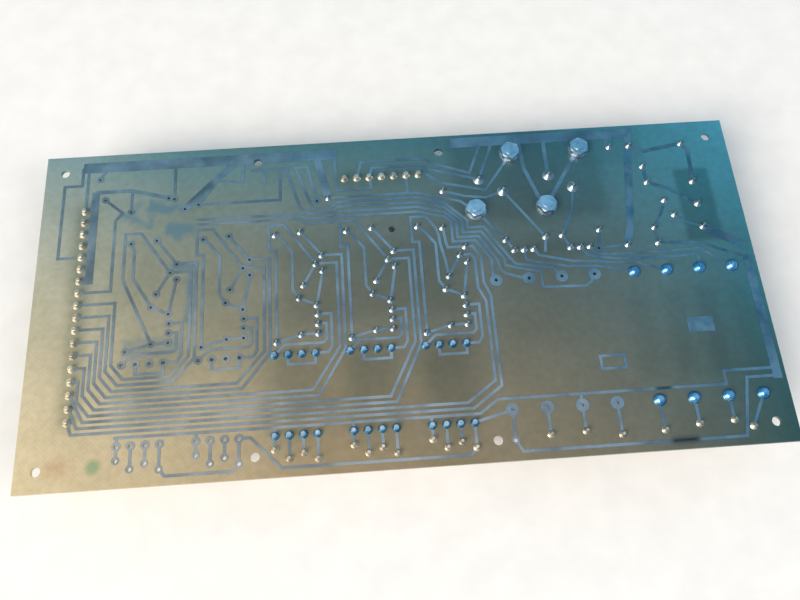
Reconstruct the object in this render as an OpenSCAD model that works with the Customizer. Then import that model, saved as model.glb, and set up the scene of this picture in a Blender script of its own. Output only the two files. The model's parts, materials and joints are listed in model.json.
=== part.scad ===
// Printed circuit board of a relay unit, lying on its parts with the solder side up.
// The origin is under the middle of the board, on the surface that the parts rest on.
// Places on the board are counted from its front left corner, seen from the solder side.

/* [Board] */
// Thickness of the laminate
board_t = 1.6; // [0.8:0.1:3.2]
// Strip at the left end for the long header and the bent tracks
header_zone = 32; // [30:0.5:45]
// Length at the right end for the supply and the load resistors
output_zone = 106; // [104:1:150]
// Strip along the front edge for the wire posts
post_zone = 11.5; // [10.5:0.5:20]
// Width of the zone for the driver parts of a channel
driver_zone = 51.5; // [48:0.5:70]
// Strip along the back edge, behind the upper bus
back_zone = 24.75; // [22:0.25:40]
// Diameter of the spare hole in the last but one channel
spare_hole_d = 2.6; // [1.5:0.1:4]
// Diameter of a mounting hole
mount_hole_d = 3.5; // [2.5:0.1:5]
// Distance of a corner hole from the two edges
mount_inset = 7.6; // [6:0.1:10]

/* [Copper] */
// Thickness of the foil with its tinning
foil_t = 0.1; // [0.05:0.01:0.3]
// Width of a signal track
track_w = 1.1; // [0.6:0.1:1.4]
// Width of a supply track
wide_track_w = 3; // [2:0.1:3.4]
// Width of a track between the parts of the supply
supply_track_w = 1.6; // [1.1:0.1:2.4]
// Width of the bands along the edges
band_w = 4.6; // [3:0.1:6]
// Spacing of the tracks of a bus
bus_pitch = 2.15; // [2:0.05:3]
// Diameter of a pad for a thin lead
pad_d = 2.9; // [2.2:0.1:3.2]
// Diameter of a pad for a header or relay pin
pin_pad_d = 3.3; // [2.6:0.1:4]
// Diameter of a pad for a load resistor
load_pad_d = 4.9; // [3:0.1:6]
// Diameter of a pad for a regulator's pin
regulator_pad_d = 4.8; // [3.3:0.1:5.5]
// Width of the plain tinned test field
test_field_l = 10; // [6:0.5:14]
// Depth of the plain tinned test field
test_field_w = 6; // [3:0.5:8]

/* [Holes and leads] */
// Diameter of a part's wire lead
lead_d = 0.7; // [0.5:0.05:1]
// Length of a lead past the solder side of the laminate
lead_proud = 2.1; // [1.6:0.1:3]
// Play between a lead and its hole
hole_play = 0.4; // [0.2:0.05:0.8]
// Inside radius of a lead's bend
bend_r = 1; // [0.5:0.1:1.6]
// Height of a solder joint on a thin lead
solder_h = 1.5; // [0.8:0.1:1.6]
// Height of the fuller joint on a thick pin
pin_solder_h = 1.7; // [1:0.1:2]

/* [Edges] */
// Width of the small chamfers, rims and grooves of the parts
rim_w = 0.5; // [0.2:0.1:0.7]

/* [Headers] */
// Number of pins of the long header
header_pins = 18; // [12:1:18]
// Number of pins of the short header
short_header_pins = 7; // [4:1:7]
// Spacing of the pins
header_pitch = 5; // [3.96:0.01:5.08]
// Side of a square pin
header_pin_w = 1.1; // [0.6:0.05:1.2]
// Width of the header's body
header_w = 7; // [5:0.5:9]
// Thickness of the header's floor
header_floor_t = 3.2; // [2:0.1:5]
// Height of the locking wall and the pins
header_h = 12; // [9:0.5:16]
// Thickness of the locking wall
header_wall_t = 1.2; // [0.8:0.1:2]

/* [Channels] */
// Number of like channels side by side
channels = 5; // [5:1:5]
// Channels at the left that hold no parts
bare_channels = 2; // [0:1:4]
// Spacing of the channels
channel_pitch = 28; // [27:0.5:40]

/* [Relays] */
// Length of a relay
relay_l = 36; // [32:0.5:44]
// Width of a relay
relay_w = 21.5; // [20:0.5:24]
// Height of a relay with its base
relay_h = 24; // [18:0.5:30]
// Thickness of the relay's base
relay_base_t = 3.4; // [2:0.1:5]
// Step of the base around the cover
relay_step = 0.8; // [0.4:0.1:1.5]
// Chamfer of the cover's corners
relay_chamfer = 1.6; // [0.8:0.1:3]
// Spacing of the pins in a row
relay_pin_pitch = 5.08; // [4.5:0.01:5.2]
// Distance of a row of pins from the relay's end
relay_pin_inset = 3; // [2:0.1:5]
// Diameter of a relay pin
relay_pin_d = 1.1; // [0.6:0.05:1.4]
// Gap between the relays and the driver parts
relay_gap = 0.5; // [0.3:0.1:3]

/* [Transistors] */
// Width of a transistor's body
transistor_w = 10; // [9:0.2:11]
// Thickness of its body
transistor_t = 3; // [2:0.1:4]
// Height of its body
transistor_h = 11; // [8:0.5:16]
// Spacing of its leads
transistor_pitch = 3.81; // [3.2:0.01:3.9]
// Height of its body over the board
transistor_lift = 3; // [1:0.1:5]
// Diameter of the hole in its body
transistor_hole_d = 3.1; // [2:0.1:3.5]

/* [Axial parts] */
// Length of a small resistor's body
resistor_l = 6.5; // [5:0.1:7]
// Diameter of a small resistor's end cap
resistor_d = 2.5; // [1.8:0.1:3]
// Length of a diode's body
diode_l = 5.2; // [4:0.1:7]
// Diameter of a diode's body
diode_d = 2.7; // [2:0.1:3.2]
// Height of an axial body over the board
axial_lift = 0.3; // [0.1:0.05:1]

/* [Regulators] */
// Spacing of a regulator's two screws
regulator_span = 30.15; // [28:0.05:31]
// Spacing of its two pins
regulator_pin_pitch = 10.92; // [10:0.01:11.5]
// Offset of the pins from the middle, along the screws
regulator_pin_offset = 1.85; // [1:0.05:3]
// Diameter of a regulator's pin
regulator_pin_d = 1; // [0.8:0.05:1.2]
// Thickness of the flange
flange_t = 1.6; // [1.2:0.1:3]
// Diameter of the flange's middle
flange_d = 25.4; // [24:0.2:27]
// Diameter of the flange's ends
flange_end_d = 8.4; // [7:0.2:9]
// Diameter of the can
can_d = 20; // [18:0.2:22]
// Height of the can over the flange
can_h = 7; // [5:0.2:9]
// Diameter of a screw's shank
screw_d = 3.9; // [3:0.1:4]
// Diameter of a screw's head
screw_head_d = 7; // [5.5:0.1:8]
// Height of a screw's head
screw_head_h = 2.6; // [2:0.1:3.5]
// Width of a nut across its flats
nut_w = 7; // [6:0.1:8]
// Thickness of a washer
washer_t = 0.5; // [0.4:0.1:1.2]
// Height of a nut
nut_h = 2.4; // [2:0.1:4]
// Length of a screw past its nut
screw_proud = 0.3; // [0.2:0.1:2]
// Play of the screws in their holes
screw_play = 0.3; // [0.1:0.05:0.6]

/* [Heat sink] */
// Length of the heat sink
sink_l = 61; // [58:0.5:66]
// Depth of the heat sink's foot
sink_w = 39; // [37:0.5:42]
// Clearance between the regulators' flanges and the edges of the foot
flange_margin = 0.95; // [0.5:0.05:2]
// Distance of the wire link's end from the heat sink
link_gap = 4.2; // [2:0.1:5]
// Thickness of the foot
sink_t = 3; // [2:0.1:4]
// Height of the upright wall
sink_h = 24; // [14:0.5:30]
// Thickness of the upright wall
sink_wall_t = 3.4; // [2.5:0.1:5]
// Depth of the grooves in the wall
groove_depth = 1.4; // [0.6:0.1:2]
// Width of the hole around a regulator's pin
sink_pin_hole_d = 3; // [2:0.1:4]

/* [Terminal block] */
// Number of terminals
terminals = 3; // [3:1:3]
// Spacing of the terminals
terminal_pitch = 10.16; // [9:0.01:11]
// Depth of the block
terminal_w = 14; // [12:0.5:16]
// Height of the block
terminal_h = 18; // [14:0.5:22]
// Height of the block's shoulder
terminal_shoulder_h = 11; // [8:0.5:13]
// Thickness of the end walls
terminal_wall_t = 0.9; // [0.6:0.1:2]
// Diameter of a screw well
well_d = 5; // [4:0.1:6]
// Side of a wire entry
entry_w = 3.6; // [2:0.1:3.8]
// Diameter of a terminal's tag
tag_d = 1.2; // [0.8:0.1:1.5]

/* [Load resistors] */
// Number of places for load resistors
load_places = 8; // [8:1:8]
// Places at the left that are empty
bare_places = 4; // [0:1:7]
// Spacing of the load resistors
load_pitch = 12.7; // [11:0.1:13]
// Extra space between the two groups
load_group_gap = 2.8; // [0:0.1:4]
// Distance of the first place from the channels
load_first = 4.4; // [3:0.1:8]
// Spacing of a load resistor's leads
load_span = 50.8; // [46:0.1:52]
// Length of its ceramic case
load_l = 35; // [30:0.5:38]
// Side of its ceramic case
load_w = 9.5; // [8:0.1:10.5]
// Height of the case over the board
load_lift = 2; // [1:0.1:4]
// Diameter of its lead
load_lead_d = 0.9; // [0.7:0.05:1.2]

/* [Wire posts] */
// Diameter of a post
post_d = 1.1; // [0.8:0.05:1.3]
// Diameter of a post's collar
post_collar_d = 2.4; // [1.8:0.1:2.8]
// Height of a post's collar
post_collar_h = 1; // [0.5:0.1:2]
// Height of a post over the board
post_h = 8; // [5:0.5:10]

/* [Capacitors] */
// Length of a channel's block capacitor
block_l = 8.6; // [7:0.2:9]
// Thickness of the block capacitor
block_t = 3; // [2:0.1:3.4]
// Height of the block capacitor
block_h = 6.5; // [5:0.5:10]
// Diameter of the reservoir capacitor
reservoir_d = 16; // [12:0.5:17]
// Spacing of its leads
reservoir_pitch = 8.2; // [5:0.1:10]
// Gap between it and the heat sink
reservoir_gap = 1; // [0.5:0.1:2]
// Height of the reservoir capacitor
reservoir_h = 22; // [16:0.5:24]
// Length of the film capacitor
film_l = 10; // [8:0.2:12]
// Thickness of the film capacitor
film_t = 4; // [3:0.1:5]
// Height of the film capacitor
film_h = 9; // [7:0.5:12]

/* [Hidden] */
$fn = 40;
// Overrun of cuts past a face
over = 1;
laminate_colour = [0.62, 0.60, 0.42];
tin_colour = [0.55, 0.60, 0.66];
solder_colour = [0.78, 0.80, 0.82];
nylon_colour = [0.90, 0.88, 0.80];
black_colour = [0.10, 0.10, 0.11];
steel_colour = [0.70, 0.71, 0.72];

// Levels: the tallest parts stand on the ground, the laminate lies over them
under_z = max(relay_h, sink_h);
top_z = under_z + board_t;
pad_z = top_z + foil_t;
lead_drop = board_t + lead_proud;

// Plan of the board
fitted = [for (c = [bare_channels : channels - 1]) c];
outputs_x = header_zone + channels * channel_pitch;
board_l = outputs_x + output_zone;
relays_y = post_zone;
drivers_y = relays_y + relay_l + relay_gap;
back_lines = 5;
back_bus_y = drivers_y + driver_zone;
back_y = back_bus_y + back_lines * bus_pitch;
board_w = back_y + back_zone;

// Holes for the kinds of lead
lead_hole_d = lead_d + hole_play;
header_hole_d = header_pin_w * sqrt(2) + hole_play;
relay_hole_d = relay_pin_d + hole_play;
regulator_hole_d = regulator_pin_d + hole_play;
load_hole_d = load_lead_d + hole_play;
post_hole_d = post_d + hole_play;
tag_hole_d = tag_d + hole_play;
screw_hole_d = screw_d + screw_play;
screw_pad_share = 1.22;
screw_pad_d = nut_w * screw_pad_share;

// Mounting holes: the four corners, and two on each long edge as shares of the length
back_mount_shares = [0.307, 0.573];
front_mount_shares = [0.302, 0.612];
mounts = concat(
    [for (x = [mount_inset, board_l - mount_inset], y = [mount_inset, board_w - mount_inset]) [x, y]],
    [for (s = back_mount_shares) [board_l * s, board_w - mount_inset]],
    [for (s = front_mount_shares) [board_l * s, mount_inset]]
);

// Long header at the left, pin 0 at the back
header_x_share = 0.535;
header_mid_share = 0.495;
function header_pin(i) = [
    header_zone * header_x_share,
    board_w * header_mid_share + ((header_pins - 1) / 2 - i) * header_pitch
];

// Short header at the back edge, pin 0 at the left
short_header_share = 0.4325;
short_header_rise_share = 0.29;
function short_pin(i) = [
    board_l * short_header_share + i * header_pitch,
    back_y + back_zone * short_header_rise_share
];

// Relay pins: two rows of four, front row first
relay_pins_per_row = 4;
relay_row_x = (relay_w - (relay_pins_per_row - 1) * relay_pin_pitch) / 2;
front_row_y = relays_y + relay_pin_inset;
back_row_y = relays_y + relay_l - relay_pin_inset;
function cell_x(c, share = 0) = header_zone + (c + share) * channel_pitch;
function row_pin(c, i, y) = [cell_x(c) + relay_row_x + i * relay_pin_pitch, y];
function front_pin(c, i) = row_pin(c, i, front_row_y);
function back_pin(c, i) = row_pin(c, i, back_row_y);

// Joints of a channel, as shares of the channel's pitch and of the driver zone
joint_shares = [
    [0.15, 0.03],
    [0.483, 0.077],
    [0.462, 0.363],
    [0.697, 0.302],
    [0.521, 0.465],
    [0.79, 0.574],
    [0.697, 0.633],
    [0.786, 0.7],
    [0.496, 0.907],
    [0.141, 0.893]
];
joints = len(joint_shares);
function cell_at(c, s) = [cell_x(c, s[0]), drivers_y + driver_zone * s[1]];
// The last channel's upper right joint lies lower, clear of the back bus
last_top_share = [0.495, 0.872];
function joint(c, i) = cell_at(c, is_last(c) && i == top_right ? last_top_share : joint_shares[i]);
// Names of the joints that the tracks call on
foot = 0;
base_joint = 1;
low_left = 2;
low_right = 3;
mid_left = 4;
mid_right = 5;
first_input = 6;
second_input = 7;
top_right = 8;
top_left = 9;

// Spare hole, with no lead in it
spare_hole_share = [0.782, 0.884];
spare_hole = cell_at(channels - 2, spare_hole_share);

// Driver transistor: three leads in a column, lead 0 at the front
driver_share = [0.71, 0.08];
function driver_lead(c, i) = cell_at(c, driver_share) + [0, i * transistor_pitch];

// Bends of a channel's tracks, as shares like those of the joints
left_rise_shares = [[0.15, 0.763], [0.056, 0.763], [0.056, 0.975], [0.27, 0.975]];
bare_left_rise_shares = [[0.056, 0.595], [0.056, 0.975], [0.27, 0.975]];
last_rise_shares = [[0.4, 0.872], [0.432, 0.8], [0.438, 0.74], [0.49, 0.597]];
last_link_shares = [[0.522, 0.74], [0.545, 0.7]];
inner_shares = [[0.231, 0.849], [0.376, 0.742], [0.376, 0.43]];
bare_inner_shares = [[0.192, 0.83], [0.192, 0.605]];
outer_drive_shares = [[0.885, -0.02], [0.833, -0.068]];
inner_drive_share = 0.815;
drive_foot_share = 0.035;
drive_turn_shares = [[0.77, 0.008], [0.26, 0.008]];
link_drop_share = 1.77;
link_drop = bus_pitch * link_drop_share;
input_x_shares = [0.985, 1.06];
jog_x_shares = [0.897, 0.985];
jog_top_shares = [0.36, 0.4];
jog_foot_shares = [0.25, 0.29];
jog_corner_shares = [[0.857, 0.589], [0.885, 0.608]];
last_input_share = 3.58;
last_input_rise = bus_pitch * last_input_share;

// Front bus: line 0 is the common line, then one line for each input, nearest the front first
inputs = 2 * channels;
front_rise_share = 1.44;
bend_pitch_share = 0.884;
bend_run_share = 2.14;
bend_fall_share = 2.6;
bend_inset_share = 0.372;
front_bus_rise = bus_pitch * front_rise_share;
bend_pitch = bus_pitch * bend_pitch_share;
bend_run = bus_pitch * bend_run_share;
bend_fall = bus_pitch * bend_fall_share;
bend_inset = bus_pitch * bend_inset_share;
straight_bends = 7;
last_end_shares = [0.6, 0.67];
input_run_share = 0.37;
input_slope_share = 0.9;
input_top_shares = [0.93, 0.51];
function front_line_y(k) = front_row_y + front_bus_rise + k * bus_pitch;
function bend_x(j) = header_zone - bend_inset - j * bend_pitch;
function input_pin(j) = header_pin(header_pins - inputs + j);

// Back bus: line 0 is the nearest to the channels
function back_line_y(k) = back_bus_y + (k + 0.5) * bus_pitch;

// Load resistors: a front and a back row of places
load_rise_share = 0.2913;
load_rise = load_pitch * load_rise_share;
load_front_y = front_row_y + load_rise;
load_back_y = load_front_y + load_span;
function load_x(i) = outputs_x + load_first + i * load_pitch
    + (i < load_places / 2 ? 0 : load_group_gap);
function load_front(i) = [load_x(i), load_front_y];
function load_back(i) = [load_x(i), load_back_y];

// Wire posts along the front edge, staggered by shares of the strip
post_shares = [0.83, 0.55, 0.7, 0.49];
load_post_shares = [0.63, 0.73, 0.76, 0.58, 0.63, 0.76, 0.8, 0.56];
edge_line_share = 0.27;
edge_line_y = post_zone * edge_line_share;
last_post_share = 0.5;
function post(c, i) = [front_pin(c, i)[0], post_zone * post_shares[i]];
function load_post(i) = [
    load_x(i) - (i < load_places - 1 ? 0 : load_pitch * last_post_share),
    post_zone * load_post_shares[i]
];

// Supply area: shares of the output zone and of the depth behind the load resistors
supply_w = board_w - load_back_y;
function supply_at(s) = [outputs_x + output_zone * s[0], load_back_y + supply_w * s[1]];
regulator_shares = [[0.075, 0.653], [0.342, 0.653]];
regulators = len(regulator_shares);
// The regulators lie as steep as the depth of the heat sink's foot lets them
foot_reach = sink_w - sink_wall_t - 2 * flange_margin - flange_end_d;
regulator_turn = asin(min(1, foot_reach / regulator_span));
axis_dir = [cos(regulator_turn), sin(regulator_turn)];
cross_dir = [sin(regulator_turn), -cos(regulator_turn)];
function regulator_at(r, along, across) =
    supply_at(regulator_shares[r]) + along * axis_dir + across * cross_dir;
function regulator_screw(r, side) = regulator_at(r, side * regulator_span / 2, 0);
function regulator_pin(r, side) =
    regulator_at(r, -regulator_pin_offset, side * regulator_pin_pitch / 2);
sink_mid = supply_at((regulator_shares[0] + regulator_shares[regulators - 1]) / 2)
    + [0, sink_wall_t / 2];

// Joints of the reservoir capacitor and of the wire link's end, beside the heat sink
reservoir_rise_share = 0.851;
link_rise_share = 0.609;
reservoir_mid = [
    sink_mid[0] + sink_l / 2 + reservoir_gap + reservoir_d / 2,
    load_back_y + supply_w * reservoir_rise_share
];
function reservoir_lead(side) = reservoir_mid + [side * reservoir_pitch / 2, 0];
reservoir_ends = [reservoir_lead(-1), reservoir_lead(1)];
link_end = [sink_mid[0] - sink_l / 2 - link_gap, load_back_y + supply_w * link_rise_share];

// Other joints of the supply area
supply_shares = [
    [0.095, 0.2545],
    [0.244, 0.26],
    [0.306, 0.264],
    [0.447, 0.285],
    [0.543, 0.175],
    [0.656, 0.175],
    [0.6535, 0.278],
    [0.661, 0.587],
    [0.656, 0.70],
    [0.823, 0.8455],
    [0.712, 0.456],
    [0.738, 0.3545],
    [0.4343, 0.164]
];
function spot(i) = supply_at(supply_shares[i]);
// The last of these joints is a bare pad, and four of them lie on lines to the edge band
lead_spots = len(supply_shares) - 1;
edge_spots = [5, 6, 10, 11];
function on_edge_band(i) = len([for (e = edge_spots) if (e == i) e]) > 0;
control_shares = [[0.158, 0.185], [0.366, 0.18]];
function control_lead(t, i) = supply_at(control_shares[t]) + [(i - 1) * transistor_pitch, 0];
terminal_shares = [0.836, 0.42];
function tag(i) = supply_at(terminal_shares) + [0, ((terminals - 1) / 2 - i) * terminal_pitch];

// Bare pads and the wire link of the back strip, as shares of the length and of the strip
back_pad_shares = [
    [0.079, 0.539], [0.222, -0.028], [0.1873, 0.103], [0.203, -0.091],
    [0.1265, -0.091], [0.0885, 0.156], [0.179, 0.127], [0.3917, -0.087]
];
link_share = 0.408;
function strip_at(s) = [board_l * s[0], back_y + back_zone * s[1]];
link_start = [board_l * link_share, back_line_y(back_lines - 1)];
link_ends = [link_start, link_end];

// Two-lead parts of a channel: the joints that each one bridges
channel_resistor_joints = [[top_left, mid_left], [low_right, base_joint]];
channel_diode_joints = [[top_right, first_input], [foot, low_left]];
upright_joints = [second_input, mid_right];
supply_diode_spots = [[8, 9], [7, 6], [4, 5]];
supply_resistor_spots = [[2, 3], [0, 1]];
film_ends = [spot(10), spot(11)];

channel_resistor_ends = [
    for (c = fitted, p = channel_resistor_joints) [joint(c, p[0]), joint(c, p[1])]
];
channel_diode_ends = [
    for (c = fitted, p = channel_diode_joints) [joint(c, p[0]), joint(c, p[1])]
];
supply_diode_ends = [for (p = supply_diode_spots) [spot(p[0]), spot(p[1])]];
supply_resistor_ends = [for (p = supply_resistor_spots) [spot(p[0]), spot(p[1])]];

// Points of each kind of joint
header_points = [for (i = [0 : header_pins - 1]) header_pin(i)];
short_header_points = [for (i = [0 : short_header_pins - 1]) short_pin(i)];
function relay_points(c) = [
    for (i = [0 : relay_pins_per_row - 1], y = [front_row_y, back_row_y]) row_pin(c, i, y)
];
function driver_points(c) = [for (i = [0 : 2]) driver_lead(c, i)];
function cell_points(c) = concat([for (i = [0 : joints - 1]) joint(c, i)], driver_points(c));
function post_points(c) = [for (i = [0 : relay_pins_per_row - 1]) post(c, i)];
load_post_points = [for (i = [0 : load_places - 1]) load_post(i)];
fitted_load_points = [for (i = [bare_places : load_places - 1], p = [load_front(i), load_back(i)]) p];
control_points = [for (t = [0 : len(control_shares) - 1], i = [0 : 2]) control_lead(t, i)];
supply_points = concat(
    [for (i = [0 : lead_spots - 1]) spot(i)],
    control_points,
    link_ends,
    reservoir_ends
);
regulator_points = [for (r = [0 : regulators - 1], side = [-1, 1]) regulator_pin(r, side)];
screw_points = [for (r = [0 : regulators - 1], side = [-1, 1]) regulator_screw(r, side)];
tag_points = [for (i = [0 : terminals - 1]) tag(i)];
back_pad_points = [for (s = back_pad_shares) strip_at(s)];

// A drilled pad is its place, its diameter and its hole
function pads(points, d, hole_d) = [for (p = points) [p, d, hole_d]];
function channel_pads(c) = concat(
    pads([for (h = [0, 1]) input_pin(2 * c + h)], pin_pad_d, header_hole_d),
    pads(cell_points(c), pad_d, lead_hole_d),
    pads([for (i = [0 : relay_pins_per_row - 1]) back_pin(c, i)], pin_pad_d, relay_hole_d)
);
supply_pads = concat(
    pads([for (i = [0 : header_pins - inputs - 1]) header_pin(i)], pin_pad_d, header_hole_d),
    pads(short_header_points, pin_pad_d, header_hole_d),
    pads([for (i = [0 : lead_spots]) if (!on_edge_band(i)) spot(i)], pad_d, lead_hole_d),
    pads(concat(control_points, link_ends, reservoir_ends), pad_d, lead_hole_d),
    pads(regulator_points, regulator_pad_d, regulator_hole_d),
    pads(screw_points, screw_pad_d, screw_hole_d),
    pads([tag(0), tag(1)], pin_pad_d, tag_hole_d),
    pads(back_pad_points, pad_d, lead_hole_d),
    pads([for (i = [0 : load_places - 1]) load_back(i)], load_pad_d, load_hole_d)
);
output_pads = concat(
    [for (c = [0 : channels - 1], i = [0 : relay_pins_per_row - 1])
        [front_pin(c, i), pin_pad_d, relay_hole_d]],
    [for (c = [0 : channels - 1]) each pads(post_points(c), pad_d, post_hole_d)],
    pads(load_post_points, pad_d, post_hole_d),
    pads([for (i = [0 : load_places - 1]) load_front(i)], load_pad_d, load_hole_d),
    pads([tag(2)], pin_pad_d, tag_hole_d),
    pads([for (i = edge_spots) spot(i)], pad_d, lead_hole_d)
);

// Tracks of a channel: each one is a list of points
function cell_bends(c, shares) = [for (s = shares) cell_at(c, s)];
function left_rise(c) = c == 0
    ? concat([joint(c, base_joint)], cell_bends(c, bare_left_rise_shares))
    : concat([joint(c, foot)], cell_bends(c, left_rise_shares));
function is_last(c) = c == channels - 1;
function rise_end(c) = is_last(c)
    ? concat(cell_bends(c, last_rise_shares), [joint(c, mid_left)])
    : [joint(c, first_input)];
function cell_lines(c) = concat(
    [
        concat(left_rise(c), rise_end(c)),
        [joint(c, foot), joint(c, base_joint), driver_lead(c, 0)],
        concat([joint(c, top_left)], cell_bends(c, c == 0 ? bare_inner_shares : inner_shares),
            [joint(c, low_left), joint(c, low_right)]),
        [joint(c, mid_right), joint(c, low_right)],
        [joint(c, mid_left), joint(c, first_input)],
        concat(
            [driver_lead(c, 2), [cell_x(c, outer_drive_shares[0][0]), driver_lead(c, 2)[1]]],
            cell_bends(c, outer_drive_shares),
            [back_pin(c, 3)]),
        concat(
            [driver_lead(c, 1), [cell_x(c, inner_drive_share), driver_lead(c, 1)[1]]],
            [cell_at(c, [inner_drive_share, drive_foot_share])],
            cell_bends(c, drive_turn_shares),
            [back_pin(c, 0)]),
        [back_pin(c, 1), back_pin(c, 1) - [0, link_drop], back_pin(c, 3) - [0, link_drop],
         back_pin(c, 3)]
    ],
    [concat([joint(c, top_right)], is_last(c) ? cell_bends(c, last_link_shares) : [],
        [joint(c, second_input)])]
);

// Input line j of the front bus, from its header pin to its joint
function input_start(j) = j < straight_bends
    ? [input_pin(j), [bend_x(j), input_pin(j)[1]],
       [bend_x(j), front_line_y(inputs - j) + bend_fall]]
    : [input_pin(j)];
function input_foot_y(j) = is_last(floor(j / 2))
    ? front_line_y(inputs - j) + last_input_rise
    : back_row_y + bus_pitch * input_top_shares[j % 2];
function input_run(j) = min(
    channel_pitch * input_run_share,
    (input_foot_y(j) - front_line_y(inputs - j)) * input_slope_share
);
function input_end_x(j) = let (c = floor(j / 2), h = j % 2) is_last(c)
    ? cell_x(c, last_end_shares[h])
    : cell_x(c, input_x_shares[h]) - input_run(j);
function input_joint(c, h) = joint(c, h == 0 ? first_input : second_input);
function input_rise(c, h) = is_last(c)
    ? [cell_at(c, [input_x_shares[h], jog_foot_shares[h]]),
       cell_at(c, [jog_x_shares[h], jog_top_shares[h]]),
       cell_at(c, [jog_x_shares[h], jog_corner_shares[h][1]]),
       [cell_x(c, jog_corner_shares[h][0]), input_joint(c, h)[1]]]
    : [[cell_x(c, input_x_shares[h]), input_joint(c, h)[1]]];
function input_line(j) = let (c = floor(j / 2), h = j % 2, y = front_line_y(inputs - j)) concat(
    input_start(j),
    [[bend_x(j) + bend_run, y],
     [input_end_x(j), y],
     [cell_x(c, input_x_shares[h]), input_foot_y(j)]],
    input_rise(c, h),
    [input_joint(c, h)]
);
function channel_lines(c) = concat([input_line(2 * c), input_line(2 * c + 1)], cell_lines(c));

// Tracks of the back strip, with bends as shares of the length and of the strip
function bends(shares) = [for (s = shares) strip_at(s)];
band_shares = [[0.0535, 0.767], [0.423, 0.767]];
right_band_shares = [[0.5914, 0.85], [0.863, 0.85]];
corner_feed_shares = [[0.0535, 0.767], [0.0535, 0.442], [0.0285, 0.442]];
first_pin_share = [0.0617, 0.767];
thick_rise_shares = [[0.125, 0.302], [0.0742, 0.302]];
thick_arc_shares = [[0.125, 0.302], [0.179, 0.127]];
drop_shares = [[0.1265, 0.297], [0.1265, -0.091]];
pin_rise_shares = [[0.1049, -0.236], [0.1144, -0.1], [0.0885, 0.156]];
eyelet_shares = [[0.079, 0.539], [0.0885, 0.74]];
stem_shares = [[0.1873, 0.767], [0.1873, 0.103]];
wedge_shares = [[0.272, 0.7], [0.203, -0.091]];
tee_feed_shares = [[0.27, 0.7], [0.222, -0.028]];
hook_shares = [[0.246, 0.394], [0.285, 0.345], [0.285, 0.74]];
tee_shares = [[0.222, -0.028], [0.339, -0.028], [0.339, 0.5515]];
shelf_shares = [[0.296, 0.5515], [0.3815, 0.5515]];
stub_shares = [[0.3162, 0.5515], [0.3162, 0.28]];
descent_shares = [
    [[0.348, 0.5515], [0.3668, -0.194]],
    [[0.362, 0.5515]],
    [[0.379, 0.5515], [0.3917, -0.087]]
];
descent_end_shares = [0.3797, 0.3848];
link_feed_share = [0.3928, 0.74];
hook_pin_shares = [[0.4705, 0.084], [0.4213, 0.084], [0.4187, 0.767]];
third_pin_shares = [[0.473, 0.467], [0.544, 0.467], [0.554, 0.384], [0.6125, 0.188]];
third_pin_end_share = [0.654, 0.85];
second_pin_shares = [[0.4575, 0.588], [0.548, 0.588], [0.561, 0.491], [0.615, 0.263], [0.6367, 0.85]];
last_pin_shares = [[0.5503, 0.297], [0.5719, 0.113], [0.6354, -0.071], [0.6717, 0.476]];
regulator_feed_shares = [[0.6043, -0.159], [0.6345, -0.207]];
// The point level with a pin, in line with a bend
function across(share, pin) = [strip_at(share)[0], pin[1]];
strip_lines = [
    [concat(bends(corner_feed_shares), [across(corner_feed_shares[2], header_pin(4)), header_pin(4)]),
     track_w],
    [[strip_at(first_pin_share), header_pin(0)], track_w],
    [bends(thick_rise_shares), supply_track_w],
    [[strip_at(thick_rise_shares[1]), across(thick_rise_shares[1], header_pin(6)), header_pin(6)],
     wide_track_w],
    [bends(thick_arc_shares), supply_track_w],
    [bends(drop_shares), track_w],
    [concat([header_pin(7), across(pin_rise_shares[0], header_pin(7))], bends(pin_rise_shares)), track_w],
    [bends(eyelet_shares), track_w],
    [bends(stem_shares), track_w],
    [bends(wedge_shares), wide_track_w],
    [bends(tee_feed_shares), track_w],
    [bends(hook_shares), track_w],
    [bends(tee_shares), track_w],
    [bends(shelf_shares), track_w],
    [bends(stub_shares), track_w],
    [[strip_at(link_feed_share), link_start], wide_track_w],
    [concat([short_pin(2)], bends(hook_pin_shares)), track_w],
    [concat([short_pin(2)], bends(third_pin_shares), [regulator_pin(0, -1)]), track_w],
    [[regulator_pin(0, -1), strip_at(third_pin_end_share)], track_w],
    [concat([short_pin(1)], bends(second_pin_shares)), track_w],
    [[short_pin(5), [short_pin(5)[0], back_line_y(4)]], track_w],
    [concat([short_pin(6)], bends(last_pin_shares), [regulator_screw(0, 1)]), track_w]
];

// Lines of the back bus: four fall past the last channel to the load resistors, the fifth
// runs to a regulator's nut, and all of them dip beside the last channel
last = channels - 1;
falling_lines = 4;
long_start_share = 0.22;
jog_down_shares = [0.36, 0.3785];
jog_up_shares = [0.411, 0.4215];
dip_x_shares = [0.165, 0.55];
fall_x_shares = [0.622, 0.694, 0.777, 0.85];
turn_y_shares = [0.747, 0.78, 0.818, 0.857];
run_x_shares = [0.934, 0.985, 1.033, 1.078];
supply_bend_shares = [
    [[0.0335, 0.1374], [0.0335, 0.0293]],
    [[0.0559, 0.1258], [0.0619, 0.0665], [0.0802, 0.0375], [0.1368, 0.0068]],
    [[0.0809, 0.1321], [0.083, 0.0912], [0.1139, 0.0742], [0.206, 0.0371],
     [0.2078, -0.0609], [0.3627, -0.0692], [0.3826, -0.0492]],
    [[0.0986, 0.1438], [0.1207, 0.096], [0.2035, 0.0689], [0.2538, 0.0543], [0.2649, 0.0351]]
];
fall_places = [0, 1, 3, 2];
nut_feed_share = [0.78, 1.09];
jog_share = 1.116;
dip_share = 1.465;
bus_jog = bus_pitch * jog_share;
bus_dip = bus_pitch * dip_share;
function supply_bends(shares) = [for (s = shares) supply_at(s)];
function bus_at(share, k, drop) = [board_l * share, back_line_y(k) - drop];
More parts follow.
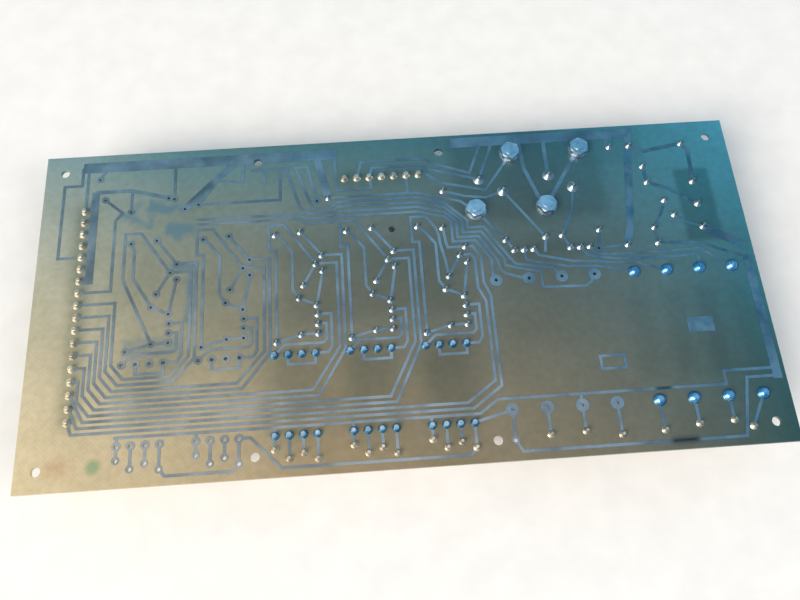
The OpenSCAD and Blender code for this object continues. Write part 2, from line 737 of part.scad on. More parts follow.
function fall_start(k) = k < 2
    ? [bus_at(long_start_share, k, 0), bus_at(jog_down_shares[0], k, 0),
       bus_at(jog_down_shares[1], k, bus_jog)]
    : concat(bends(descent_shares[k - 2]), [bus_at(descent_end_shares[k - 2], k, bus_jog)]);
function dip(k) = [
    [cell_x(last, dip_x_shares[0]), back_line_y(k)],
    [cell_x(last, dip_x_shares[1]), back_line_y(k) - bus_dip]
];
function fall_line(k) = concat(
    fall_start(k),
    [bus_at(jog_up_shares[0], k, bus_jog), bus_at(jog_up_shares[1], k, 0)],
    dip(k),
    [[cell_x(last, fall_x_shares[k]),
      back_line_y(k) - bus_dip - (fall_x_shares[k] - dip_x_shares[1]) * channel_pitch],
     cell_at(last, [fall_x_shares[k], turn_y_shares[k]]),
     cell_at(last, [run_x_shares[k], turn_y_shares[k]])],
    supply_bends(supply_bend_shares[k]),
    [load_back(fall_places[k])]
);
bus_lines = concat(
    [for (k = [0 : falling_lines - 1]) [fall_line(k), track_w]],
    [
        [concat([link_start], dip(falling_lines), [cell_at(last, nut_feed_share), regulator_screw(0, -1)]),
         track_w],
        [concat([link_end], bends(regulator_feed_shares), [regulator_pin(0, 1)]), track_w],
        [bends(descent_shares[2]), track_w]
    ]
);

// Tracks of the supply area, with bends as shares like those of its joints
nut_bend_share = [0.03, 0.391];
nut_rise_shares = [[0.2396, 0.536], [0.2, 0.736], [0.194, 0.927]];
pin_bend_share = [0.3585, 0.427];
thick_bend_shares = [[0.568, 0.318], [0.6075, 0.7727]];
corner_shares = [[0.6755, 0.8055], [0.845, 0.791]];
second_tag_share = [0.732, 0.536];
film_bend_share = [0.692, 0.3727];
stub_end_share = [0.2345, 0.16];
// Runs from the control transistors to the fitted load resistors
control_run_shares = [
    [[0.1612, 0.1188], [0.2058, 0.0965], [0.2558, 0.0805], [0.3056, 0.0605], [0.382, 0.053], [0.417, 0.05]],
    [[0.2096, 0.1407], [0.2722, 0.1157], [0.3343, 0.0895], [0.4208, 0.0795], [0.4847, 0.0645],
     [0.566, 0.0545], [0.64, 0.013]],
    [[0.3889, 0.1235], [0.4237, 0.1081], [0.4872, 0.0895], [0.5857, 0.081], [0.7185, 0.0815],
     [0.7887, 0.0854], [0.7929, 0.0675]],
    [[0.4133, 0.1354], [0.4582, 0.1217], [0.5436, 0.1165], [0.6497, 0.1155], [0.8027, 0.1222],
     [0.8776, 0.0379]]
];
function control_run(n) = concat(
    [control_lead(floor(n / 2), 1 + n % 2)],
    supply_bends(control_run_shares[n]),
    [load_back(load_places / 2 + n)]
);
third_tag_share = [0.789, 0.291];
edge_bend_shares = [[0.879, 0.218], [0.9415, 0.1545], [0.965, 0.128]];
exit_shares = [[0.7396, 0.1686], [0.8072, 0.1623], [0.9318, 0.0717]];
exit_end_share = 0.049;
edge_band_share = 0.74;
edge_inset_share = 0.696;
edge_band_w = band_w * edge_band_share;
edge_band_inset = band_w * edge_inset_share;
edge_band_x = board_l - edge_band_inset;
edge_top_share = 0.0636;
function edge_band_at(share) = [edge_band_x, load_back_y + supply_w * share];
right_band_y = strip_at(right_band_shares[0])[1];
function up_to_band(p) = [p, [p[0], right_band_y]];
supply_area_lines = [
    [concat([regulator_screw(1, -1)], [for (s = nut_rise_shares) supply_at(s)]), supply_track_w],
    [[regulator_screw(1, -1), regulator_screw(1, 1)], supply_track_w],
    [up_to_band(regulator_pin(1, -1)), supply_track_w],
    [[regulator_pin(1, 1), supply_at(pin_bend_share), spot(2), control_lead(1, 0)], track_w],
    [[regulator_pin(0, 1), spot(1), supply_at(stub_end_share)], track_w],
    [[regulator_screw(0, -1), supply_at(nut_bend_share), spot(0), control_lead(0, 0)], track_w],
    [[spot(3), spot(lead_spots), spot(4)], track_w],
    [[spot(4), supply_at(thick_bend_shares[0]), supply_at(thick_bend_shares[1]), reservoir_lead(1)],
     wide_track_w],
    [up_to_band(reservoir_lead(-1)), wide_track_w],
    [up_to_band(reservoir_lead(1)), wide_track_w],
    [[reservoir_lead(1), supply_at(corner_shares[0]), spot(9), supply_at(corner_shares[1]), tag(0)],
     supply_track_w],
    [[spot(8), spot(7), supply_at(second_tag_share), tag(1)], supply_track_w],
    for (n = [0 : len(control_run_shares) - 1]) [control_run(n), track_w]
];
supply_lines = concat(
    [[bends(band_shares), band_w], [bends(right_band_shares), band_w]],
    strip_lines,
    bus_lines,
    supply_area_lines
);

// Tracks of the outputs: rows of pins to their posts, the common line and the lines along the edge
common_place = 2;
common_end_share = 0.74;
common_run_share = 3.163;
common_rise_share = 1.953;
common_step_share = 2.326;
common_run = bus_pitch * common_run_share;
common_rise = bus_pitch * common_rise_share;
common_step = bus_pitch * common_step_share;
common_y = front_line_y(0);
outer_y = load_front_y + common_rise;
edge_leave_share = 0.8;
edge_join_share = 0.19;
edge_rise_shares = [0.817, 0.862];
edge_foot_share = 0.4;
edge_foot_y = outer_y + common_step * edge_foot_share;
output_lines = concat(
    [for (c = [0 : channels - 1], i = [0 : relay_pins_per_row - 1])
        [[i == 0 ? [front_pin(c, i)[0], common_y] : front_pin(c, i), post(c, i)], track_w]],
    [for (i = [1 : load_places - 1])
        [[i == common_place ? [load_x(i), outer_y] : load_front(i), load_post(i)], track_w]],
    [
        [[[front_pin(0, 0)[0] - track_w, common_y], [cell_x(last, common_end_share), common_y],
          [cell_x(last, common_end_share) + common_run, outer_y], [load_x(6), outer_y],
          [load_x(6), outer_y + common_step], [edge_band_x, outer_y + common_step]], track_w],
        [[post(0, 3), [post(0, 3)[0] + bus_pitch, edge_line_y], [post(1, 3)[0] - bus_pitch, edge_line_y],
          post(1, 3)], track_w],
        [[front_pin(1, 3), [cell_x(1, edge_leave_share), front_row_y],
          [cell_x(2, edge_join_share), edge_line_y],
          [post(last, 3)[0] - bus_pitch, edge_line_y], post(last, 3)], track_w],
        [[front_pin(last, 3), load_front(0)], track_w],
        [[load_post(0), [load_x(0) + bus_pitch, edge_line_y],
          [supply_at([edge_rise_shares[0], 0])[0], edge_line_y],
          [supply_at([edge_rise_shares[1], 0])[0], edge_foot_y], [edge_band_x, edge_foot_y]], track_w],
        [[film_ends[1], supply_at(third_tag_share), tag(2)], track_w],
        [concat([tag(2)], supply_bends(edge_bend_shares)), edge_band_w],
        [[film_ends[0], supply_at(film_bend_share), spot(6), spot(5)], track_w],
        [concat([spot(5)], supply_bends(exit_shares), [edge_band_at(exit_end_share)]), track_w],
        [[edge_band_at(edge_top_share), [edge_band_x, edge_foot_y - track_w]], edge_band_w]
    ]
);
test_field_shares = [0.745, 0.547];
frame_shares = [0.412, 0.303];
function field_at(s) = [outputs_x + output_zone * s[0], load_front_y + load_span * s[1]];

// Right and left edges of a track that follows its points, mitred at the bends
function toward(a, b) = (b - a) / norm(b - a);
function leftward(d) = [-d[1], d[0]];
function edge_step(p, i, half) = let (
    n = len(p),
    before = leftward(toward(p[max(i, 1) - 1], p[max(i, 1)])),
    after = leftward(toward(p[min(i, n - 2)], p[min(i, n - 2) + 1])),
    middle = before + after
) middle * (2 * half / (middle * middle));
function ribbon(p, w) = concat(
    [for (i = [0 : len(p) - 1]) p[i] - edge_step(p, i, w / 2)],
    [for (i = [len(p) - 1 : -1 : 0]) p[i] + edge_step(p, i, w / 2)]
);

// Corner of the board over the ground, so that the frame's origin is under its middle
module placed() {
    translate([-board_l / 2, -board_w / 2, 0]) children();
}

// A place under the board, where a part is built upward from the laminate and then hangs down
module below(p, turn = 0) {
    placed() translate([p[0], p[1], under_z]) rotate(turn) mirror([0, 0, 1]) children();
}

// A place on the solder side, at a height over the ground
module above(p, z) {
    placed() translate([p[0], p[1], z]) children();
}

module holes(list) {
    for (p = list) translate(p[0]) circle(d = p[2]);
}

module mount_holes() {
    for (p = mounts) translate(p) circle(d = mount_hole_d);
}

module board() {
    color(laminate_colour) placed() translate([0, 0, under_z]) linear_extrude(board_t) difference() {
        square([board_l, board_w]);
        mount_holes();
        for (c = [0 : channels - 1]) holes(channel_pads(c));
        holes(supply_pads);
        holes(output_pads);
        translate(spare_hole) circle(d = spare_hole_d);
    }
}

// Copper of one group of tracks, with its drilled pads
module copper(lines, list) {
    color(tin_colour) placed() translate([0, 0, top_z]) linear_extrude(foil_t) difference() {
        union() {
            for (l = lines) polygon(ribbon(l[0], l[1]));
            for (p = list) translate(p[0]) circle(d = p[1]);
            children();
        }
        holes(list);
        mount_holes();
    }
}

module signal_tracks() {
    for (c = [0 : channels - 1]) copper([for (l = channel_lines(c)) [l, track_w]], channel_pads(c));
}

module supply_tracks() {
    copper(supply_lines, supply_pads);
}

module output_tracks() {
    copper(output_lines, output_pads) {
        translate(field_at(test_field_shares)) square([test_field_l, test_field_w], center = true);
        translate(field_at(frame_shares)) difference() {
            square([test_field_l, test_field_w], center = true);
            square([test_field_l - 2 * track_w, test_field_w - 2 * track_w], center = true);
        }
    }
}

// Solder joint as a body of revolution around a lead; a curve over 1 is hollow, under 1 is a dome
fillet_steps = 4;
module joint_body(foot_d, bore_d, h, curve) {
    rotate_extrude() polygon(concat(
        [[bore_d / 2, 0]],
        [for (i = [0 : fillet_steps]) let (u = sin(90 * i / fillet_steps)) [
            bore_d / 2 + (foot_d - bore_d) / 2 * pow(1 - u * hold_share, curve),
            h * u
        ]],
        [[bore_d / 2, h]]
    ));
}
hold_share = 0.9;
hollow_curve = 1.7;
dome_curve = 0.5;

module wire_joints(points, foot_d, bore_d, h, curve) {
    color(solder_colour) for (p = points) above(p, pad_z) joint_body(foot_d, bore_d, h, curve);
}

module square_joints(points) {
    color(solder_colour) for (p = points) above(p, pad_z) difference() {
        rotate_extrude() polygon(concat(
            [[0, 0]],
            [for (i = [0 : fillet_steps]) let (u = sin(90 * i / fillet_steps)) [
                header_pin_w * corner_share
                    + (pin_pad_d / 2 - header_pin_w * corner_share) * pow(1 - u * hold_share, hollow_curve),
                pin_solder_h * u
            ]],
            [[0, pin_solder_h]]
        ));
        translate([0, 0, pin_solder_h / 2])
            cube([header_pin_w, header_pin_w, pin_solder_h + 2 * over], center = true);
    }
}
corner_share = 0.75;

module header_solder() {
    square_joints(header_points);
    square_joints(short_header_points);
}

module relay_solder() {
    for (c = fitted) wire_joints(relay_points(c), pin_pad_d, relay_pin_d, pin_solder_h, dome_curve);
}

module channel_solder() {
    for (c = fitted) wire_joints(cell_points(c), pad_d, lead_d, solder_h, hollow_curve);
}

module supply_solder() {
    wire_joints(supply_points, pad_d, lead_d, solder_h, hollow_curve);
    wire_joints(regulator_points, regulator_pad_d, regulator_pin_d, pin_solder_h, hollow_curve);
    wire_joints(tag_points, pin_pad_d, tag_d, pin_solder_h, hollow_curve);
}

module load_solder() {
    wire_joints(fitted_load_points, load_pad_d, load_lead_d, pin_solder_h, dome_curve);
}

module post_solder() {
    for (c = fitted) wire_joints(post_points(c), pad_d, post_d, solder_h, hollow_curve);
    wire_joints([for (i = [1 : load_places - 1]) load_post(i)], pad_d, post_d, solder_h, hollow_curve);
}

// Header: a floor with a locking wall along one side, and square pins through the floor
module header_housing(count, p, turn) {
    color(nylon_colour) below(p, turn) difference() {
        union() {
            translate([-header_w / 2, -count * header_pitch / 2, 0])
                cube([header_w, count * header_pitch, header_floor_t]);
            translate([-header_w / 2, -count * header_pitch / 2, 0])
                cube([header_wall_t, count * header_pitch, header_h]);
        }
        for (i = [0 : count - 1]) translate([0, (i - (count - 1) / 2) * header_pitch, 0])
            cube([header_pin_w, header_pin_w, 4 * header_floor_t], center = true);
    }
}

module square_pins(points) {
    color(steel_colour) for (p = points) below(p)
        translate([-header_pin_w / 2, -header_pin_w / 2, -lead_drop])
            cube([header_pin_w, header_pin_w, header_h + lead_drop - header_wall_t]);
}

header_mid = (header_pin(0) + header_pin(header_pins - 1)) / 2;
short_header_mid = (short_pin(0) + short_pin(short_header_pins - 1)) / 2;

module main_header_housing() {
    header_housing(header_pins, header_mid, 0);
}

module main_header_pins() {
    square_pins(header_points);
}

module small_header_housing() {
    header_housing(short_header_pins, short_header_mid, -90);
}

module small_header_pins() {
    square_pins(short_header_points);
}

// A rectangle with its four corners cut off
module chamfered(l, w, c) {
    polygon([
        [c, 0], [l - c, 0], [l, c], [l, w - c],
        [l - c, w], [c, w], [0, w - c], [0, c]
    ]);
}

// Relay: a base with eight pins, and a cover that stands on it
module relay_base(c) {
    color(black_colour) below([cell_x(c), relays_y]) linear_extrude(relay_base_t) difference() {
        square([relay_w, relay_l]);
        for (p = relay_points(c)) translate(p - [cell_x(c), relays_y]) circle(d = relay_pin_d);
    }
}

module relay_cover(c) {
    color([0.75, 0.76, 0.74]) below([cell_x(c), relays_y])
        translate([relay_step, relay_step, relay_base_t]) linear_extrude(relay_h - relay_base_t)
            chamfered(relay_w - 2 * relay_step, relay_l - 2 * relay_step, relay_chamfer);
}

module relay_base_1() {
    relay_base(fitted[0]);
}

module relay_base_2() {
    relay_base(fitted[1]);
}

module relay_base_3() {
    relay_base(fitted[2]);
}

module relay_cover_1() {
    relay_cover(fitted[0]);
}

module relay_cover_2() {
    relay_cover(fitted[1]);
}

module relay_cover_3() {
    relay_cover(fitted[2]);
}

// A straight lead from a part down to its tip past the solder side
module straight_lead(d, h) {
    translate([0, 0, -lead_drop]) cylinder(d = d, h = lead_drop + h);
}

module relay_pins() {
    color(steel_colour) for (c = fitted, p = relay_points(c))
        below(p) straight_lead(relay_pin_d, relay_base_t);
}

// Transistor standing on its three leads, with a hole through its upper half
transistor_hole_share = 0.75;
module transistor(p, turn) {
    color(black_colour) below(p, turn) translate([0, 0, transistor_lift]) difference() {
        translate([-transistor_w / 2, -transistor_t / 2, 0])
            cube([transistor_w, transistor_t, transistor_h]);
        translate([0, 0, transistor_h * transistor_hole_share]) rotate([90, 0, 0])
            cylinder(d = transistor_hole_d, h = 2 * transistor_t, center = true);
    }
}

module driver_transistors() {
    for (c = fitted) transistor(driver_lead(c, 1), 90);
}

module driver_leads() {
    color(steel_colour) for (c = fitted, p = driver_points(c))
        below(p) straight_lead(lead_d, transistor_lift);
}

module control_transistors() {
    for (t = [0 : len(control_shares) - 1]) transistor(control_lead(t, 1), 0);
}

module control_leads() {
    color(steel_colour) for (t = [0 : len(control_shares) - 1], i = [0 : 2])
        below(control_lead(t, i)) straight_lead(lead_d, transistor_lift);
}

// Axial parts lie between two joints; their wires bend down into the holes
function bearing(e) = atan2(e[1][1] - e[0][1], e[1][0] - e[0][0]);
module half_wire(run, axis_z) {
    translate([0, 0, -lead_drop]) cylinder(d = lead_d, h = lead_drop + axis_z - bend_r);
    translate([bend_r, 0, axis_z - bend_r]) mirror([1, 0, 0]) rotate([90, 0, 0])
        rotate_extrude(angle = 90) translate([bend_r, 0]) circle(d = lead_d);
    if (run > bend_r)
        translate([bend_r, 0, axis_z]) rotate([0, 90, 0]) cylinder(d = lead_d, h = run - bend_r);
}

module axial_wires(e, body_l, body_d) {
    color(steel_colour) for (side = [0, 1]) below(e[side], bearing(e) + 180 * side)
        half_wire((norm(e[1] - e[0]) - body_l) / 2, axial_lift + body_d / 2);
}

module axial_place(e, body_l, body_d) {
    below((e[0] + e[1]) / 2, bearing(e)) translate([-body_l / 2, 0, axial_lift + body_d / 2])
        rotate([0, 90, 0]) children();
}

// Resistor with two wider end caps
cap_share = 0.25;
waist_share = 0.84;
module resistor(e) {
    cap = resistor_l * cap_share;
    waist = resistor_d / 2 * waist_share;
    color([0.72, 0.55, 0.40]) axial_place(e, resistor_l, resistor_d) rotate_extrude() polygon([
        [0, 0], [waist, 0], [resistor_d / 2, cap / 3], [resistor_d / 2, cap * 2 / 3], [waist, cap],
        [waist, resistor_l - cap], [resistor_d / 2, resistor_l - cap * 2 / 3],
        [resistor_d / 2, resistor_l - cap / 3], [waist, resistor_l], [0, resistor_l]
    ]);
}

module diode(e) {
    rim = diode_d / 2 * waist_share;
    edge = diode_d / 2 - rim;
    color(black_colour) axial_place(e, diode_l, diode_d) rotate_extrude() polygon([
        [0, 0], [rim, 0], [diode_d / 2, edge], [diode_d / 2, diode_l - edge], [rim, diode_l], [0, diode_l]
    ]);
}

module channel_resistors() {
    for (e = channel_resistor_ends) resistor(e);
}

module channel_diodes() {
    for (e = channel_diode_ends) diode(e);
}

module supply_resistors() {
    for (e = supply_resistor_ends) resistor(e);
}

module supply_diodes() {
    for (e = supply_diode_ends) diode(e);
}

module channel_wires() {
    for (e = channel_resistor_ends) axial_wires(e, resistor_l, resistor_d);
    for (e = channel_diode_ends) axial_wires(e, diode_l, diode_d);
}

module supply_wires() {
    for (e = supply_resistor_ends) axial_wires(e, resistor_l, resistor_d);
    for (e = supply_diode_ends) axial_wires(e, diode_l, diode_d);
}

module wire_link() {
    axis_z = axial_lift + lead_d / 2 + bend_r;
    span = norm(link_ends[1] - link_ends[0]);
    color(steel_colour) {
        below(link_ends[0], bearing(link_ends)) half_wire(span - bend_r, axis_z);
        below(link_ends[1], bearing(link_ends) + 180) half_wire(bend_r, axis_z);
    }
}

// Small block capacitor of a channel, upright on its two leads
function upright_ends(c) = [joint(c, upright_joints[0]), joint(c, upright_joints[1])];
module upright(e, l, t, h) {
    below((e[0] + e[1]) / 2, bearing(e)) translate([-l / 2, -t / 2, axial_lift])
        linear_extrude(h) chamfered(l, t, rim_w);
}

module channel_capacitors() {
    color([0.80, 0.55, 0.25]) for (c = fitted) upright(upright_ends(c), block_l, block_t, block_h);
}

module capacitor_leads() {
    color(steel_colour) for (c = fitted, p = upright_ends(c)) below(p) straight_lead(lead_d, axial_lift);
}

module film_capacitor() {
    color([0.65, 0.20, 0.15]) upright(film_ends, film_l, film_t, film_h);
}

module film_leads() {
    color(steel_colour) for (p = film_ends) below(p) straight_lead(lead_d, axial_lift);
}

// Reservoir capacitor: a can with a groove rolled in above its rubber base
groove_z_share = 0.14;
module reservoir_capacitor() {
    r = reservoir_d / 2;
    z = reservoir_h * groove_z_share;
    color([0.12, 0.16, 0.30]) below(reservoir_mid) rotate_extrude() polygon([
        [0, 0], [r - rim_w, 0], [r, rim_w], [r, z - rim_w], [r - rim_w, z], [r, z + rim_w],
        [r, reservoir_h - rim_w], [r - rim_w, reservoir_h], [0, reservoir_h]
    ]);
}

module reservoir_leads() {
    color(steel_colour) for (p = reservoir_ends) below(p) straight_lead(lead_d, 0);
}

// Regulator: a lozenge flange with a can on it, screwed through the heat sink to the board
flange_z = sink_t;
can_z = flange_z + flange_t;
module regulator(r) {
    color(steel_colour) below(supply_at(regulator_shares[r]), regulator_turn) {
        translate([0, 0, flange_z]) difference() {
            linear_extrude(flange_t) hull() {
                circle(d = flange_d);
                for (side = [-1, 1]) translate([side * regulator_span / 2, 0]) circle(d = flange_end_d);
            }
            for (side = [-1, 1]) translate([side * regulator_span / 2, 0, -over])
                cylinder(d = screw_hole_d, h = flange_t + 2 * over);
        }
        translate([0, 0, can_z]) rotate_extrude() polygon([
            [0, 0], [can_d / 2 + rim_w, 0], [can_d / 2 + rim_w, rim_w], [can_d / 2, rim_w],
            [can_d / 2, can_h - 2 * rim_w], [can_d / 2 - rim_w, can_h - rim_w],
            [can_d / 2 - 2 * rim_w, can_h], [0, can_h]
        ]);
    }
}

module regulator_1() {
    regulator(0);
}

module regulator_2() {
    regulator(1);
}

module regulator_pins() {
    color(steel_colour) for (p = regulator_points) below(p) straight_lead(regulator_pin_d, flange_z);
}

// Heat sink: a foot under the regulators and an upright wall with grooves along its back
grooves = 4;
module heat_sink() {
    groove_step = (sink_h - sink_t) / grooves;
    color([0.62, 0.63, 0.65]) below(sink_mid) difference() {
        union() {
            translate([-sink_l / 2, -sink_w / 2, 0]) cube([sink_l, sink_w, sink_t]);
            translate([-sink_l / 2, sink_w / 2 - sink_wall_t, 0]) cube([sink_l, sink_wall_t, sink_h]);
        }
        for (i = [0 : grooves - 1])
            translate([-sink_l / 2 - over, sink_w / 2 - groove_depth, sink_t + (i + 1 / 4) * groove_step])
                cube([sink_l + 2 * over, groove_depth + over, groove_step / 2]);
        for (p = regulator_points) translate([p[0] - sink_mid[0], p[1] - sink_mid[1], -over])
            cylinder(d = sink_pin_hole_d, h = sink_t + 2 * over);
        for (p = screw_points) translate([p[0] - sink_mid[0], p[1] - sink_mid[1], -over])
            cylinder(d = screw_hole_d, h = sink_t + 2 * over);
    }
}

// Slotted screws from below, with a washer and a nut on the solder side
washer_share = 1.1;
nut_z = pad_z + washer_t;
slot_w = screw_d / 4;
slot_depth = screw_head_h / 2;
module regulator_screws() {
    shank_l = nut_z + nut_h + screw_proud - under_z;
    color(steel_colour) for (p = screw_points) below(p) difference() {
        union() {
            translate([0, 0, -shank_l]) cylinder(d = screw_d, h = shank_l + can_z + screw_head_h / 2);
            translate([0, 0, can_z]) cylinder(d = screw_head_d, h = screw_head_h);
        }
        translate([-screw_head_d, -slot_w / 2, can_z + screw_head_h - slot_depth])
            cube([2 * screw_head_d, slot_w, slot_depth + over]);
    }
}

module regulator_washers() {
    color(steel_colour) for (p = screw_points) above(p, pad_z) linear_extrude(washer_t) difference() {
        circle(d = nut_w * washer_share);
        circle(d = screw_hole_d);
    }
}

// Hex nut with its corners turned off above and below
module hex_nut() {
    corner_r = nut_w / sqrt(3);
    bevel = corner_r - nut_w / 2;
    intersection() {
        linear_extrude(nut_h) difference() {
            polygon([for (i = [0 : 5]) corner_r * [cos(60 * i), sin(60 * i)]]);
            circle(d = screw_d);
        }
        rotate_extrude() polygon([
            [0, 0], [nut_w / 2, 0], [corner_r + bevel / 2, bevel], [corner_r + bevel / 2, nut_h - bevel],
            [nut_w / 2, nut_h], [0, nut_h]
        ]);
    }
}

nut_turns = [12, 40, 5, 27];
module regulator_nuts() {
    color(steel_colour) for (i = [0 : len(screw_points) - 1])
        above(screw_points[i], nut_z) rotate(nut_turns[i]) hex_nut();
}

// Terminal block: stepped moulding with screw wells below and wire entries at the right
terminal_l = terminals * terminal_pitch + 2 * terminal_wall_t;
well_share = 0.3;
module terminal_block() {
    color([0.16, 0.32, 0.22]) below(tag(1)) difference() {
        translate([-terminal_w / 2, -terminal_l / 2, 0]) union() {
            cube([terminal_w, terminal_l, terminal_shoulder_h]);
            cube([terminal_w * 2 / 3, terminal_l, terminal_h]);
        }
        for (i = [0 : terminals - 1]) translate([0, (i - (terminals - 1) / 2) * terminal_pitch, 0]) {
            translate([-terminal_w / 6, 0, terminal_shoulder_h])
                cylinder(d = well_d, h = terminal_h);
            translate([0, -entry_w / 2, terminal_shoulder_h * well_share])
                cube([terminal_w, entry_w, entry_w]);
        }
    }
}

module terminal_screws() {
    head_d = well_d - 2 * hole_play;
    color(steel_colour) for (p = tag_points) below(p) translate([-terminal_w / 6, 0, terminal_shoulder_h])
        difference() {
            cylinder(d = head_d, h = screw_head_h);
            translate([-head_d, -slot_w / 2, screw_head_h - slot_depth])
                cube([2 * head_d, slot_w, slot_depth + over]);
        }
}

module terminal_tags() {
    color(steel_colour) for (p = tag_points) below(p) straight_lead(tag_d, 0);
}

// Load resistor: a ceramic case held off the board by its two bent leads
module load_resistor(i) {
    mid = (load_front(i) + load_back(i)) / 2;
    color([0.86, 0.84, 0.78]) below(mid) translate([-load_w / 2, load_l / 2, load_lift]) rotate([90, 0, 0])
        linear_extrude(load_l) chamfered(load_w, load_w, rim_w);
}

module load_resistor_1() {
    load_resistor(bare_places);
}

module load_resistor_2() {
    load_resistor(bare_places + 1);
}

module load_resistor_3() {
    load_resistor(bare_places + 2);
}

module load_resistor_4() {
    load_resistor(bare_places + 3);
}

module load_half_lead(run, axis_z) {
    translate([0, 0, -lead_drop]) cylinder(d = load_lead_d, h = lead_drop + axis_z - bend_r);
    translate([bend_r, 0, axis_z - bend_r]) mirror([1, 0, 0]) rotate([90, 0, 0])
        rotate_extrude(angle = 90) translate([bend_r, 0]) circle(d = load_lead_d);
    translate([bend_r, 0, axis_z]) rotate([0, 90, 0]) cylinder(d = load_lead_d, h = run - bend_r);
}

module load_leads() {
    run = (load_span - load_l) / 2;
    color(steel_colour) for (i = [bare_places : load_places - 1]) {
        below(load_front(i), 90) load_half_lead(run, load_lift + load_w / 2);
        below(load_back(i), -90) load_half_lead(run, load_lift + load_w / 2);
    }
}

// Wire posts: a pin with a collar against the underside
fitted_posts = concat(
    [for (c = fitted) each post_points(c)],
    [for (i = [1 : load_places - 1]) load_post(i)]
);
module wire_posts() {
    color(steel_colour) for (p = fitted_posts) below(p) {
        straight_lead(post_d, post_h);
        cylinder(d = post_collar_d, h = post_collar_h);
    }
}

board();
signal_tracks();
supply_tracks();
output_tracks();
main_header_housing();
main_header_pins();
small_header_housing();
small_header_pins();
relay_base_1();
relay_base_2();
relay_base_3();
relay_cover_1();
relay_cover_2();
relay_cover_3();
relay_pins();
driver_transistors();
driver_leads();
control_transistors();
control_leads();
channel_resistors();
channel_diodes();
channel_wires();
channel_capacitors();
capacitor_leads();
supply_resistors();
supply_diodes();
supply_wires();
wire_link();
regulator_1();
regulator_2();
regulator_pins();
heat_sink();
regulator_screws();
regulator_washers();
regulator_nuts();
terminal_block();
terminal_screws();
terminal_tags();
load_resistor_1();
load_resistor_2();
load_resistor_3();
load_resistor_4();
load_leads();
wire_posts();
reservoir_capacitor();
reservoir_leads();
film_capacitor();
film_leads();
header_solder();
relay_solder();
channel_solder();
supply_solder();
load_solder();
post_solder();
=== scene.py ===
"""Printed circuit board, solder side up, lying on its relays and heat sink on a pale studio floor."""

import json

import bpy
import numpy as np
from mathutils import Matrix, Vector


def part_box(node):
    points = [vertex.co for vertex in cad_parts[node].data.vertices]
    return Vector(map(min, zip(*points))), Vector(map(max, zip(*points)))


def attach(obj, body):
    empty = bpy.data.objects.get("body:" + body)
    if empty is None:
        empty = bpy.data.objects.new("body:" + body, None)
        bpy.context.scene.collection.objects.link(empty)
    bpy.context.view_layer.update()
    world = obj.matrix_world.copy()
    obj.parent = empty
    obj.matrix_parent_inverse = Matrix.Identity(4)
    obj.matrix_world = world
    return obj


MM = 0.001
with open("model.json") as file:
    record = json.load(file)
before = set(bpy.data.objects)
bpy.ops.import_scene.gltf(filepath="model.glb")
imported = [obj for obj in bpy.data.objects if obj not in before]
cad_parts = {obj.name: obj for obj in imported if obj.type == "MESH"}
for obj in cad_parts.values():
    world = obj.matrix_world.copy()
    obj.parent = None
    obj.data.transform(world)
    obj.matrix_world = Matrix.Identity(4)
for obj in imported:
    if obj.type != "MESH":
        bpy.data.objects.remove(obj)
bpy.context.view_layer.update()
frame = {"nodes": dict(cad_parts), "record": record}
nodes = frame["nodes"]

# Laminate: one sheet of woven glass cloth in epoxy, sawn to size and drilled, with no lacquer on it.
# Its tone drifts from cream at the front left to blue-green at the back right. This is partly the resin's
# own tone
# and partly painted light: warm light at the front left, and a painted reflection of blue sky light at the
# back right.
# It is a little translucent, and the shadows of the parts behind it are painted on as soft darker fields,
# with a broad painted shade over the middle. It also carries a greyish haze, a handling smear and dark
# slate marks.

# Tones along the front and back edges, by their share of the board's length from the left. They are partly
# the resin's own tone and partly painted light: warm at the front left, and a painted blue sky reflection
# to the back right
FRONT_TONES_AND_LIGHT = ((0.0, "#e4d2aa"), (0.4, "#9c8a6a"), (0.78, "#6c6a5a"), (1.0, "#244a4a"))
BACK_TONES_AND_LIGHT = ((0.0, "#84a0a4"), (0.2, "#50808a"), (0.7, "#2a6474"), (1.0, "#4494b0"))
BACK_RISE = 1.4
MOTTLE_SIZE = 26 * MM
MOTTLE = (0.5, "#c9cec6")
SPECK_SIZE = 2.6 * MM
SPECKS = (0.3, "#c4c1b2")
# The real cloth is about half as coarse, which would be too fine to show
CLOTH_PITCH = 0.9 * MM
CLOTH = (0.07, "#bdbcae")
CLOTH_RELIEF = 0.02 * MM
CLOTH_BUMP = 0.05
RESIN_IOR = 1.55
RESIN_GLOSS = (0.3, 0.44)
# Most of a noise lies within this span
NOISE_LOW = 0.3
NOISE_HIGH = 0.7
# Each piece behind, whose shadow through the translucent laminate is painted as a darker field: the
# strength of its field and how soft its edge is in millimetres
SHADOWS_BEHIND = {
    "main_header_housing": (0.55, 4.0),
    "small_header_housing": (0.35, 4.0),
    "relay_base_1": (0.4, 8.0),
    "relay_base_2": (0.5, 8.0),
    "relay_base_3": (0.48, 8.0),
    "channel_diodes": (0.35, 8.0),
    "control_transistors": (0.35, 6.0),
    "heat_sink": (0.42, 4.0),
    "reservoir_capacitor": (0.2, 4.0),
    "terminal_block": (0.55, 1.5),
    "load_resistor_1": (0.2, 4.0),
    "load_resistor_2": (0.25, 4.0),
    "load_resistor_3": (0.3, 4.0),
    "load_resistor_4": (0.2, 4.0),
}
# The tone of the painted shadows, also used for the greyish haze film
SHADOW_AND_HAZE_TONE = "#7d9793"
# Marks are placed in millimetres from the board's front left corner.
# Each film: its middle, half sizes and soft edge, its strength and shade. The first is painted shade over
# the middle of the board from the channel parts behind it; the others are a greyish haze and a handling
# smear.
FILMS_AND_PAINTED_SHADE = (
    # Painted shade over the middle of the board
    (121.0, 70.0, 100.0, 32.0, 24.0, 0.32, SHADOW_AND_HAZE_TONE),
    (47.0, 35.0, 10.0, 14.0, 7.0, 0.34, SHADOW_AND_HAZE_TONE),
    (14.5, 8.5, 4.5, 3.0, 3.0, 0.35, "#c89a8a"),
)
